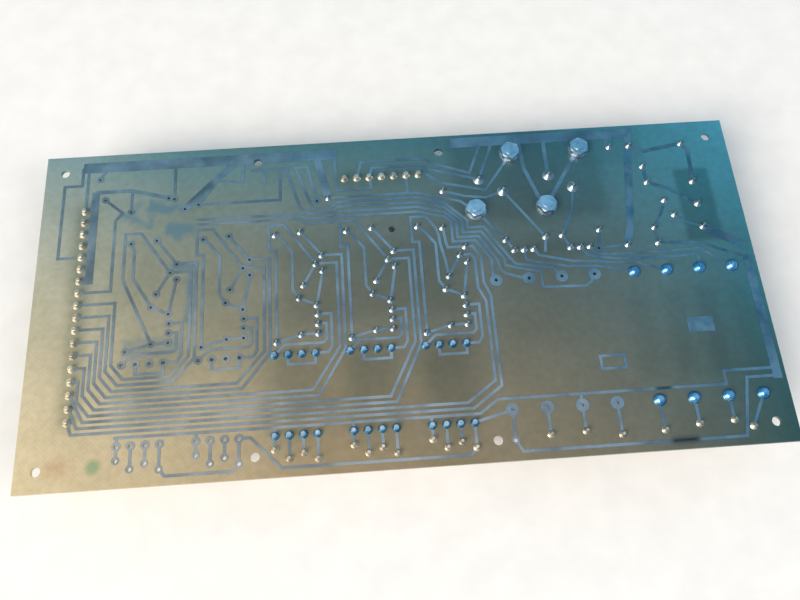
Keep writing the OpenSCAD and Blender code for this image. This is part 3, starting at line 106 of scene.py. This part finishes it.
# Each dark slate mark: its middle and half sizes, its turn in degrees and its strength
SLATE_MARKS = (
    (46.8, 109.5, 5.4, 2.6, -10.0, 0.8),
    (54.2, 108.8, 3.4, 1.1, -24.0, 0.7),
    (54.8, 99.2, 5.8, 2.4, 0.0, 0.8),
    (54.7, 96.0, 2.2, 2.0, 45.0, 0.7),
    (34.3, 105.7, 4.2, 1.3, -25.0, 0.7),
    (43.4, 104.0, 2.9, 0.6, -77.0, 0.7),
    (39.5, 102.5, 4.6, 0.6, -13.0, 0.7),
    (37.2, 109.6, 3.0, 0.6, 62.0, 0.6),
    (56.7, 83.0, 4.8, 1.7, 0.0, 0.75),
    (59.6, 70.0, 11.0, 1.5, 88.0, 0.65),
    (46.0, 51.0, 11.0, 3.6, 0.0, 0.35),
    (83.0, 131.0, 8.0, 2.2, 0.0, 0.4),
)
MARK_SLATE = "#4c7080"
MARK_SOFT = 1.6 * MM
RAGGED_SIZE = 5.0 * MM
RAGGED_REACH = 5.0 * MM
# The ink spot's middle, radius and soft edge
INK_SPOT = (27.4, 7.9, 2.4, 1.0)
INK_GREEN = "#6a9468"
INK_STRENGTH = 0.7
# The soot's middle and half sizes
SOOT_MARK = (236.5, 3.2, 5.0, 0.9)
SOOT_SOFT = 1.6 * MM
SOOT = "#1d201c"


def linear(code):
    """Scene-linear colour of an sRGB hex value."""
    c = np.array([int(code[i : i + 2], 16) for i in (1, 3, 5)]) / 255
    c = np.where(c <= 0.04045, c / 12.92, ((c + 0.055) / 1.055) ** 2.4)
    return (*c.tolist(), 1.0)


def add(tree, kind, inputs=None, **settings):
    """Adds a node, sets its fields, and gives each named or numbered input a value or a link."""
    node = tree.nodes.new(kind)
    for name, value in settings.items():
        setattr(node, name, value)
    for key, value in (inputs or {}).items():
        if isinstance(value, bpy.types.NodeSocket):
            tree.links.new(value, node.inputs[key])
        else:
            node.inputs[key].default_value = value
    return node


def new_material(name, **sockets):
    """Starts a material; returns it, its tree, its principled shader and its Object coordinates."""
    material = bpy.data.materials.new(name)
    material.use_nodes = True
    tree = material.node_tree
    shader = tree.nodes["Principled BSDF"]
    for key, value in sockets.items():
        shader.inputs[key.replace("_", " ")].default_value = value
    place = add(tree, "ShaderNodeTexCoord").outputs["Object"]
    return material, tree, shader, place


def on_board(x, y):
    """The place so many millimetres from the board's front left corner."""
    return (low[0] + x * MM, low[1] + y * MM, 0.0)


def soft_field(tree, place, centre, half_l, half_w, soft, turn=0.0):
    """1 in a rectangle around centre, turned about Z, and 0 outside it, with an edge soft by a length."""
    off = add(tree, "ShaderNodeVectorMath", {0: place, 1: centre}, operation="SUBTRACT").outputs[0]
    if turn:
        off = add(
            tree,
            "ShaderNodeVectorRotate",
            {"Vector": off, "Angle": -np.radians(turn)},
            rotation_type="Z_AXIS",
        ).outputs[0]
    away = add(tree, "ShaderNodeVectorMath", {0: off}, operation="ABSOLUTE").outputs[0]
    half = np.array([half_l, half_w, 1.0])
    inside = add(
        tree,
        "ShaderNodeMapRange",
        {"Vector": away, 7: half + soft, 8: half - soft, 9: (0, 0, 0), 10: (1, 1, 1)},
        data_type="FLOAT_VECTOR",
        interpolation_type="SMOOTHSTEP",
    ).outputs[1]
    sides = add(tree, "ShaderNodeSeparateXYZ", {0: inside}).outputs
    return add(tree, "ShaderNodeMath", {0: sides[0], 1: sides[1]}, operation="MULTIPLY").outputs[0]


def dress(material, *names):
    """Gives CAD nodes a material."""
    for name in names:
        mesh = nodes[name].data
        mesh.materials.clear()
        mesh.materials.append(material)


low, high = (np.array(v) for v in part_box("board"))
laminate, tree, shader, place = new_material("glass_epoxy_laminate", IOR=RESIN_IOR)
axes = add(tree, "ShaderNodeSeparateXYZ", {0: place}).outputs
# Shares from left to right and front to back, and 1 on the solder side, where the marks are, to 0 behind
along, across, upper = (
    add(tree, "ShaderNodeMapRange", {0: axes[i], 1: low[i], 2: high[i]}).outputs[0] for i in range(3)
)
across = add(tree, "ShaderNodeMath", {0: across, 1: BACK_RISE}, operation="POWER").outputs[0]
edge_tones_and_light = []
for tones in (FRONT_TONES_AND_LIGHT, BACK_TONES_AND_LIGHT):
    ramp = add(tree, "ShaderNodeValToRGB", {0: along})
    stops = ramp.color_ramp.elements
    while len(stops) < len(tones):
        stops.new(0.5)
    for stop, (share, code) in zip(stops, tones):
        stop.position = share
        stop.color = linear(code)
    edge_tones_and_light.append(ramp.outputs[0])
# The laminate's colour: its own tone mixed with painted warm light and a painted blue sky reflection
resin = add(tree, "ShaderNodeMix", {0: across, 6: edge_tones_and_light[0], 7: edge_tones_and_light[1]}, data_type="RGBA").outputs[2]
mottle, specks = (
    add(tree, "ShaderNodeTexNoise", {"Vector": place, "Scale": 1 / size, "Detail": detail}).outputs[0]
    for size, detail in ((MOTTLE_SIZE, 4.0), (SPECK_SIZE, 3.0))
)
weave = add(tree, "ShaderNodeTexChecker", {"Vector": place, "Scale": 1 / CLOTH_PITCH}).outputs[1]
for grain, (strongest, shade) in ((mottle, MOTTLE), (specks, SPECKS), (weave, CLOTH)):
    share = add(
        tree, "ShaderNodeMapRange", {0: grain, 1: NOISE_LOW, 2: NOISE_HIGH, 3: 0.0, 4: strongest}
    ).outputs[0]
    resin = add(
        tree,
        "ShaderNodeMix",
        {0: share, 6: resin, 7: linear(shade)},
        data_type="RGBA",
        blend_type="MULTIPLY",
    ).outputs[2]

shades = []
# Painted shadow of each piece behind the board
for name, (strength, soft) in SHADOWS_BEHIND.items():
    near, far = (np.array(v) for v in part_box(name))
    half_l, half_w = ((far - near) / 2)[:2]
    mask = soft_field(tree, place, (near + far) / 2, half_l, half_w, soft * MM)
    shades.append((mask, strength, SHADOW_AND_HAZE_TONE, "MULTIPLY"))
for x, y, half_l, half_w, soft, strength, shade in FILMS_AND_PAINTED_SHADE:
    mask = soft_field(tree, place, on_board(x, y), half_l * MM, half_w * MM, soft * MM)
    shades.append((mask, strength, shade, "MULTIPLY"))
# Slate marks have ragged edges, because noise shifts the place that they are looked up at
waver = add(tree, "ShaderNodeTexNoise", {"Vector": place, "Scale": 1 / RAGGED_SIZE}).outputs[1]
waver = add(tree, "ShaderNodeVectorMath", {0: waver, 1: (0.5, 0.5, 0.5)}, operation="SUBTRACT").outputs[0]
ragged = add(
    tree, "ShaderNodeVectorMath", {0: waver, 1: [RAGGED_REACH] * 3, 2: place}, operation="MULTIPLY_ADD"
).outputs[0]
for x, y, half_l, half_w, turn, strength in SLATE_MARKS:
    mask = soft_field(tree, ragged, on_board(x, y), half_l * MM, half_w * MM, MARK_SOFT, turn)
    shades.append((mask, strength, MARK_SLATE, "MIX"))
x, y, radius, soft = INK_SPOT
off = add(
    tree, "ShaderNodeVectorMath", {0: place, 1: (*on_board(x, y)[:2], high[2])}, operation="DISTANCE"
).outputs[1]
ink = add(
    tree, "ShaderNodeMapRange", {0: off, 1: (radius + soft) * MM, 2: (radius - soft) * MM}
).outputs[0]
shades.append((ink, INK_STRENGTH, INK_GREEN, "MIX"))
x, y, half_l, half_w = SOOT_MARK
soot_place = (on_board(x, y), half_l * MM, half_w * MM, SOOT_SOFT)
shades.append((soft_field(tree, place, *soot_place), 1.0, SOOT, "MIX"))
for mask, strength, shade, blend in shades:
    share = add(tree, "ShaderNodeMath", {0: mask, 1: strength}, operation="MULTIPLY").outputs[0]
    share = add(tree, "ShaderNodeMath", {0: share, 1: upper}, operation="MULTIPLY").outputs[0]
    resin = add(
        tree, "ShaderNodeMix", {0: share, 6: resin, 7: linear(shade)}, data_type="RGBA", blend_type=blend
    ).outputs[2]
tree.links.new(resin, shader.inputs["Base Color"])
gloss = add(
    tree,
    "ShaderNodeMapRange",
    {0: mottle, 1: NOISE_LOW, 2: NOISE_HIGH, 3: RESIN_GLOSS[0], 4: RESIN_GLOSS[1]},
).outputs[0]
tree.links.new(gloss, shader.inputs["Roughness"])
relief = add(
    tree, "ShaderNodeBump", {"Height": weave, "Strength": CLOTH_BUMP, "Distance": CLOTH_RELIEF}
).outputs[0]
tree.links.new(relief, shader.inputs["Normal"])
dress(laminate, "board")

# Tracks: copper foil etched to the pattern and run through molten tin, which leaves a dull, lumpy skin.
# The tin has tarnished in places, and is smeared with soot where the laminate is.

TIN = "#9aa8b2"
TIN_DULL = "#74838e"
TIN_PATCH = 12 * MM
TIN_PATCH_SPAN = (0.35, 0.65)
TIN_LUMP = 2.4 * MM
TIN_RELIEF = 0.1 * MM
TIN_BUMP = 0.3
TIN_GLOSS = (0.26, 0.42)
# Each tarnished place: its middle and half sizes in millimetres, its turn in degrees and its strength
TARNISH = ((61.4, 116.2, 6.5, 2.8, 36.0, 0.6), (232.3, 22.4, 3.2, 1.4, 2.0, 0.95))
TARNISH_GREY = "#3f5a5c"
TARNISH_SOFT = 1.6 * MM

tin, tree, shader, place = new_material("roller_tinned_copper", Metallic=1.0)
patch, lumps = (
    add(tree, "ShaderNodeTexNoise", {"Vector": place, "Scale": 1 / size, "Detail": detail}).outputs[0]
    for size, detail in ((TIN_PATCH, 4.0), (TIN_LUMP, 2.0))
)
share = add(tree, "ShaderNodeMapRange", {0: patch, 1: TIN_PATCH_SPAN[0], 2: TIN_PATCH_SPAN[1]}).outputs[0]
skin = add(
    tree, "ShaderNodeMix", {0: share, 6: linear(TIN), 7: linear(TIN_DULL)}, data_type="RGBA"
).outputs[2]
marks = []
for x, y, half_l, half_w, turn, strength in TARNISH:
    mask = soft_field(tree, place, on_board(x, y), half_l * MM, half_w * MM, TARNISH_SOFT, turn)
    marks.append((mask, strength, TARNISH_GREY))
marks.append((soft_field(tree, place, *soot_place), 1.0, SOOT))
for mask, strength, shade in marks:
    share = add(tree, "ShaderNodeMath", {0: mask, 1: strength}, operation="MULTIPLY").outputs[0]
    skin = add(tree, "ShaderNodeMix", {0: share, 6: skin, 7: linear(shade)}, data_type="RGBA").outputs[2]
tree.links.new(skin, shader.inputs["Base Color"])
gloss = add(
    tree,
    "ShaderNodeMapRange",
    {0: lumps, 1: NOISE_LOW, 2: NOISE_HIGH, 3: TIN_GLOSS[0], 4: TIN_GLOSS[1]},
).outputs[0]
tree.links.new(gloss, shader.inputs["Roughness"])
relief = add(
    tree, "ShaderNodeBump", {"Height": lumps, "Strength": TIN_BUMP, "Distance": TIN_RELIEF}
).outputs[0]
tree.links.new(relief, shader.inputs["Normal"])
dress(tin, "signal_tracks", "supply_tracks", "output_tracks")

# First load track: a straight strip of the same tinned foil, from the first bare load pad down to the
# bare post pad in front of it. It ends under the rims of both pads.

STRIP_X = 176.4
STRIP_Y = (8.5, 15.9)
STRIP_W = 1.1
STRIP_SINK = 0.005 * MM

foil_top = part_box("output_tracks")[1][2]
# A box: every pairing of its two ends along X, Y and Z, with X slowest and Z fastest
ends = np.meshgrid(
    low[0] + (STRIP_X + np.array([-0.5, 0.5]) * STRIP_W) * MM,
    low[1] + np.array(STRIP_Y) * MM,
    [high[2], foil_top - STRIP_SINK],
    indexing="ij",
)
corners = np.stack(ends, axis=-1).reshape(-1, 3)
faces = [(0, 2, 6, 4), (1, 5, 7, 3), (0, 4, 5, 1), (2, 3, 7, 6), (0, 1, 3, 2), (4, 6, 7, 5)]
mesh = bpy.data.meshes.new("first_load_track")
mesh.from_pydata(corners.tolist(), [], faces)
mesh.materials.append(tin)
strip = bpy.data.objects.new("first_load_track", mesh)
bpy.context.collection.objects.link(strip)
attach(strip, "root")

# Headers: natural nylon mouldings with a locking wall, whose pins are pressed in. They are satin from
# the mould and have yellowed a little.

DRIFT_GRAINS = 6
DRIFT_SPAN = (0.35, 0.65)
GRAIN_BUMP = 0.6


def finish(name, pale, dark, grain, relief, gloss, stretch=(1.0, 1.0, 1.0), **sockets):
    """A material that drifts between two tones, with relief and uneven gloss of a grain in metres.

    The drift is several grains wide. Stretch draws the grain out along an axis where it is under 1.
    """
    material, tree, shader, place = new_material(name, **sockets)
    place = add(tree, "ShaderNodeVectorMath", {0: place, 1: stretch}, operation="MULTIPLY").outputs[0]
    drift, fine = (
        add(tree, "ShaderNodeTexNoise", {"Vector": place, "Scale": 1 / size, "Detail": detail}).outputs[0]
        for size, detail in ((DRIFT_GRAINS * grain, 4.0), (grain, 3.0))
    )
    share = add(tree, "ShaderNodeMapRange", {0: drift, 1: DRIFT_SPAN[0], 2: DRIFT_SPAN[1]}).outputs[0]
    tone = add(
        tree, "ShaderNodeMix", {0: share, 6: linear(pale), 7: linear(dark)}, data_type="RGBA"
    ).outputs[2]
    tree.links.new(tone, shader.inputs["Base Color"])
    rough = add(
        tree, "ShaderNodeMapRange", {0: fine, 1: NOISE_LOW, 2: NOISE_HIGH, 3: gloss[0], 4: gloss[1]}
    ).outputs[0]
    tree.links.new(rough, shader.inputs["Roughness"])
    bump = add(
        tree, "ShaderNodeBump", {"Height": fine, "Strength": GRAIN_BUMP, "Distance": relief}
    ).outputs[0]
    tree.links.new(bump, shader.inputs["Normal"])
    return material


nylon = finish(
    "natural_nylon", "#e8e2cf", "#d8cfb2",
    grain=1.6 * MM, relief=0.03 * MM, gloss=(0.38, 0.52), IOR=1.53,
)
dress(nylon, "main_header_housing", "small_header_housing")

# Relays: a black phenolic base with a dull face, and a grey polycarbonate cover, glossy from its mould
# and snapped over the base.

relay_base = finish(
    "phenolic_relay_base", "#232325", "#161617",
    grain=1.2 * MM, relief=0.04 * MM, gloss=(0.42, 0.6), IOR=1.6,
)
dress(relay_base, "relay_base_1", "relay_base_2", "relay_base_3")
relay_cover = finish(
    "polycarbonate_cover", "#c6c9c5", "#b3b6b1",
    grain=2.2 * MM, relief=0.02 * MM, gloss=(0.16, 0.3), IOR=1.58,
)
dress(relay_cover, "relay_cover_1", "relay_cover_2", "relay_cover_3")

# Small parts: transistors and diodes in black epoxy, lacquered resistors, capacitors dipped in resin
# and one in a moulded case. Lacquer and resin are glossy and uneven, epoxy is dull and grainy.

epoxy = finish(
    "black_moulded_epoxy", "#222222", "#141414",
    grain=0.5 * MM, relief=0.03 * MM, gloss=(0.4, 0.6), IOR=1.55,
)
dress(epoxy, "driver_transistors", "control_transistors", "channel_diodes", "supply_diodes")
resistor = finish(
    "resistor_lacquer", "#c8a375", "#ad8457",
    grain=0.7 * MM, relief=0.05 * MM, gloss=(0.2, 0.38), IOR=1.5,
)
dress(resistor, "channel_resistors", "supply_resistors")
dipped = finish(
    "dipped_capacitor_resin", "#d1964c", "#b67a36",
    grain=0.9 * MM, relief=0.08 * MM, gloss=(0.14, 0.3), IOR=1.5,
)
dress(dipped, "channel_capacitors")
film = finish(
    "film_capacitor_case", "#a63a2b", "#8a2b20",
    grain=1.0 * MM, relief=0.03 * MM, gloss=(0.2, 0.34), IOR=1.5,
)
dress(film, "film_capacitor")
sleeve = finish(
    "shrunk_capacitor_sleeve", "#26365a", "#1b2743",
    grain=1.5 * MM, relief=0.03 * MM, gloss=(0.18, 0.32), IOR=1.52,
)
dress(sleeve, "reservoir_capacitor")

# Regulators and heat sink: nickel-plated steel cans on an extruded aluminium angle, whose faces carry
# fine lines along the extrusion.

nickel = finish(
    "nickel_plated_steel", "#c1c0ba", "#9f9e97",
    grain=1.4 * MM, relief=0.02 * MM, gloss=(0.2, 0.36), Metallic=1.0,
)
dress(nickel, "regulator_1", "regulator_2")
aluminium = finish(
    "extruded_aluminium",
    "#bcc0c3",
    "#a0a4a8",
    grain=0.4 * MM,
    relief=0.02 * MM,
    gloss=(0.3, 0.46),
    stretch=(0.02, 1.0, 1.0),
    Metallic=1.0,
)
dress(aluminium, "heat_sink")

# Fixings: zinc-plated steel screws, washers and hex nuts, which clamp the regulators and the sink to the
# board, and the terminal block's own screws. They are tinted faintly blue.

zinc = finish(
    "zinc_plated_steel", "#c8d8e4", "#a0b4c4",
    grain=0.8 * MM, relief=0.02 * MM, gloss=(0.22, 0.42), Metallic=1.0,
)
dress(zinc, "regulator_screws", "regulator_washers", "regulator_nuts", "terminal_screws")

# Terminal block and load resistors: a green polyamide moulding, and cement-filled ceramic cases with
# a dry, pitted face.

terminal = finish(
    "green_polyamide", "#33664a", "#274f36",
    grain=1.2 * MM, relief=0.03 * MM, gloss=(0.34, 0.5), IOR=1.53,
)
dress(terminal, "terminal_block")
ceramic = finish(
    "unglazed_ceramic", "#e0dccf", "#c9c4b3",
    grain=0.6 * MM, relief=0.08 * MM, gloss=(0.6, 0.8), IOR=1.6,
)
dress(ceramic, "load_resistor_1", "load_resistor_2", "load_resistor_3", "load_resistor_4")

# Leads and pins: tinned copper wire on the small parts, and tinned brass pins on headers, relays and posts.
# They go through the drilled holes and were cut off over the board with side cutters.

lead = finish(
    "tinned_lead_wire", "#dcd6c8", "#a49d8e",
    grain=0.6 * MM, relief=0.03 * MM, gloss=(0.2, 0.4), Metallic=1.0,
)
lead_nodes = [s["node"] for s in frame["record"]["subparts"] if s["material_slot"] == "tinned_lead"]
dress(lead, *lead_nodes)

# Solder joints: tin and lead, melted round each lead by hand. They are bright and smooth where they
# cooled undisturbed. Their blue tint is a painted reflection of blue sky light. Those of the headers and
# posts are rougher and painted a warm cream, a painted reflection of warm light. The large ones of the
# relays and loads are painted a deeper blue, a painted reflection of the blue sky.

solder = finish(
    "tin_lead_solder", "#c4d4de", "#90a6b6",
    grain=0.9 * MM, relief=0.08 * MM, gloss=(0.22, 0.4), Metallic=1.0,
)
dress(solder, "channel_solder", "supply_solder")
# Painted cream reflection on the header and post joints
cream_reflecting_solder = finish(
    "cream_reflection_solder", "#faf2e2", "#c6beae",
    grain=0.9 * MM, relief=0.06 * MM, gloss=(0.32, 0.5), Metallic=1.0,
)
dress(cream_reflecting_solder, "header_solder", "post_solder")
# Painted blue sky reflection on the relay and load joints
blue_reflecting_solder = finish(
    "blue_reflection_solder", "#8eccf8", "#58a6e4",
    grain=0.9 * MM, relief=0.06 * MM, gloss=(0.2, 0.36), Metallic=1.0,
)
dress(blue_reflecting_solder, "relay_solder", "load_solder")

# Floor: a wide sheet of pale matt paper that the relays and the heat sink stand on. It reaches far past
# the picture on all sides.

FLOOR_HALF = 3.0

mesh = bpy.data.meshes.new("floor")
corners = FLOOR_HALF * np.array([(-1, -1, 0), (1, -1, 0), (1, 1, 0), (-1, 1, 0)])
mesh.from_pydata(corners.tolist(), [], [(0, 1, 2, 3)])
paper = finish("pale_paper", "#f7f7f5", "#f2f2f0", grain=2 * MM, relief=0.02 * MM, gloss=(0.85, 0.95))
mesh.materials.append(paper)
floor = bpy.data.objects.new("floor", mesh)
bpy.context.collection.objects.link(floor)

# Light: a large warm soft box at the front left with a fill from the right, in a pale blue room. Glowing
# cards that only sheen takes up hang over the board, warm at the front left and blue to the back and right,
# and a low one at the left puts a cream glint on each joint.

# Each soft box: its place in metres, its watts and its colour
KEY = ((-1.8, -1.6, 2.0), 105, "#fff0e0")
FILL = ((2.0, -1.2, 2.2), 40, "#fff6ee")
BOX_SIDE = 2.0
BOARD_MIDDLE = Vector((0.0, 0.0, 0.02))
# Each card overhead: two opposite corners in metres, its glow and its colour
CARD_Z = 0.72
CARDS = (
    ("front_edge_card", (-0.75, -0.3), (0.28, 0.1), 1.2, "#fff0e2"),
    ("front_left_card", (-0.75, 0.1), (-0.1, 0.2), 1.05, "#fff2e4"),
    ("front_middle_card", (-0.1, 0.1), (0.28, 0.2), 1.1, "#e4ecf8"),
    ("front_right_card", (0.28, -0.3), (0.9, 0.16), 0.9, "#8cd0fa"),
    ("left_card", (-0.75, 0.2), (-0.1, 0.42), 0.66, "#eef4f4"),
    ("middle_card", (-0.1, 0.2), (0.28, 0.54), 0.95, "#98daff"),
    ("right_card", (0.28, 0.16), (0.9, 0.9), 0.48, "#38d0ff"),
    ("back_left_card", (-0.75, 0.42), (-0.1, 0.9), 0.74, "#80d8f4"),
    ("back_card", (-0.1, 0.54), (0.28, 0.9), 0.46, "#38d0ff"),
)
# The low card stands across the left: its place along X, and its reach along Y and up
GLINT_X = -0.9
GLINT_Y = (-0.75, -0.1)
GLINT_Z = (0.1, 0.6)
GLINT = 6.0
GLINT_CREAM = "#ffe9c8"
BLACK = "#000000"
ROOM = "#bcd9f0"
ROOM_STRENGTH = 0.45
BACKDROP = "#f4f5f6"


def soft_box(name, spot, watts, colour):
    """A square area light at a spot in metres, turned to face the board."""
    data = bpy.data.lights.new(name, "AREA")
    data.shape = "SQUARE"
    data.size = BOX_SIDE
    data.energy = watts
    data.color = linear(colour)[:3]
    light = bpy.data.objects.new(name, data)
    light.location = spot
    light.rotation_euler = (BOARD_MIDDLE - Vector(spot)).to_track_quat("-Z", "Y").to_euler()
    bpy.context.collection.objects.link(light)
    return light


soft_box("key_box", *KEY)
fill = soft_box("fill_box", *FILL)
fill.visible_glossy = False
cards = [
    (name, [(x0, y0, CARD_Z), (x1, y0, CARD_Z), (x1, y1, CARD_Z), (x0, y1, CARD_Z)], glow, colour)
    for name, (x0, y0), (x1, y1), glow, colour in CARDS
]
upright = [(GLINT_X, GLINT_Y[i], GLINT_Z[j]) for i, j in ((0, 0), (1, 0), (1, 1), (0, 1))]
cards.append(("glint_card", upright, GLINT, GLINT_CREAM))
for name, corners, glow, colour in cards:
    mesh = bpy.data.meshes.new(name)
    mesh.from_pydata(corners, [], [(0, 1, 2, 3)])
    material, tree, shader, place = new_material(
        name, Base_Color=linear(BLACK), Emission_Color=linear(colour), Emission_Strength=glow
    )
    mesh.materials.append(material)
    card = bpy.data.objects.new(name, mesh)
    card.visible_camera = False
    card.visible_diffuse = False
    card.visible_shadow = False
    bpy.context.collection.objects.link(card)
# The room lights the board in pale blue, and the camera sees a paler backdrop in its place
world = bpy.data.worlds.new("pale_room")
world.use_nodes = True
tree = world.node_tree
walls = tree.nodes["Background"]
walls.inputs[0].default_value = linear(ROOM)
walls.inputs[1].default_value = ROOM_STRENGTH
backdrop = add(tree, "ShaderNodeBackground", {0: linear(BACKDROP)})
direct = add(tree, "ShaderNodeLightPath").outputs["Is Camera Ray"]
seen = add(tree, "ShaderNodeMixShader", {0: direct, 1: walls.outputs[0], 2: backdrop.outputs[0]})
tree.links.new(seen.outputs[0], tree.nodes["World Output"].inputs["Surface"])
bpy.context.scene.world = world
bpy.context.scene.view_settings.view_transform = "Standard"

# Camera: above the front edge and a little left of the middle, looking down at about 68 degrees, as the
# photograph was taken.

CAMERA_SPOT = np.array([-8.3, -112.9, 299.8]) * MM
CAMERA_RIGHT = Vector((0.99758, -0.06952, 0.0026))
CAMERA_BACK = Vector((-0.0281, -0.36846, 0.92922))
SENSOR = 36.0
LENS = 34.98
NEAREST = 0.01

camera = bpy.data.objects.new("camera", bpy.data.cameras.new("camera"))
back = CAMERA_BACK.normalized()
right = (CAMERA_RIGHT - back * CAMERA_RIGHT.dot(back)).normalized()
up = back.cross(right)
turn = Matrix((right, up, back)).transposed()
camera.matrix_world = Matrix.Translation(CAMERA_SPOT.tolist()) @ turn.to_4x4()
camera.data.sensor_width = SENSOR
camera.data.lens = LENS
camera.data.clip_start = NEAREST
bpy.context.collection.objects.link(camera)
bpy.context.scene.camera = camera
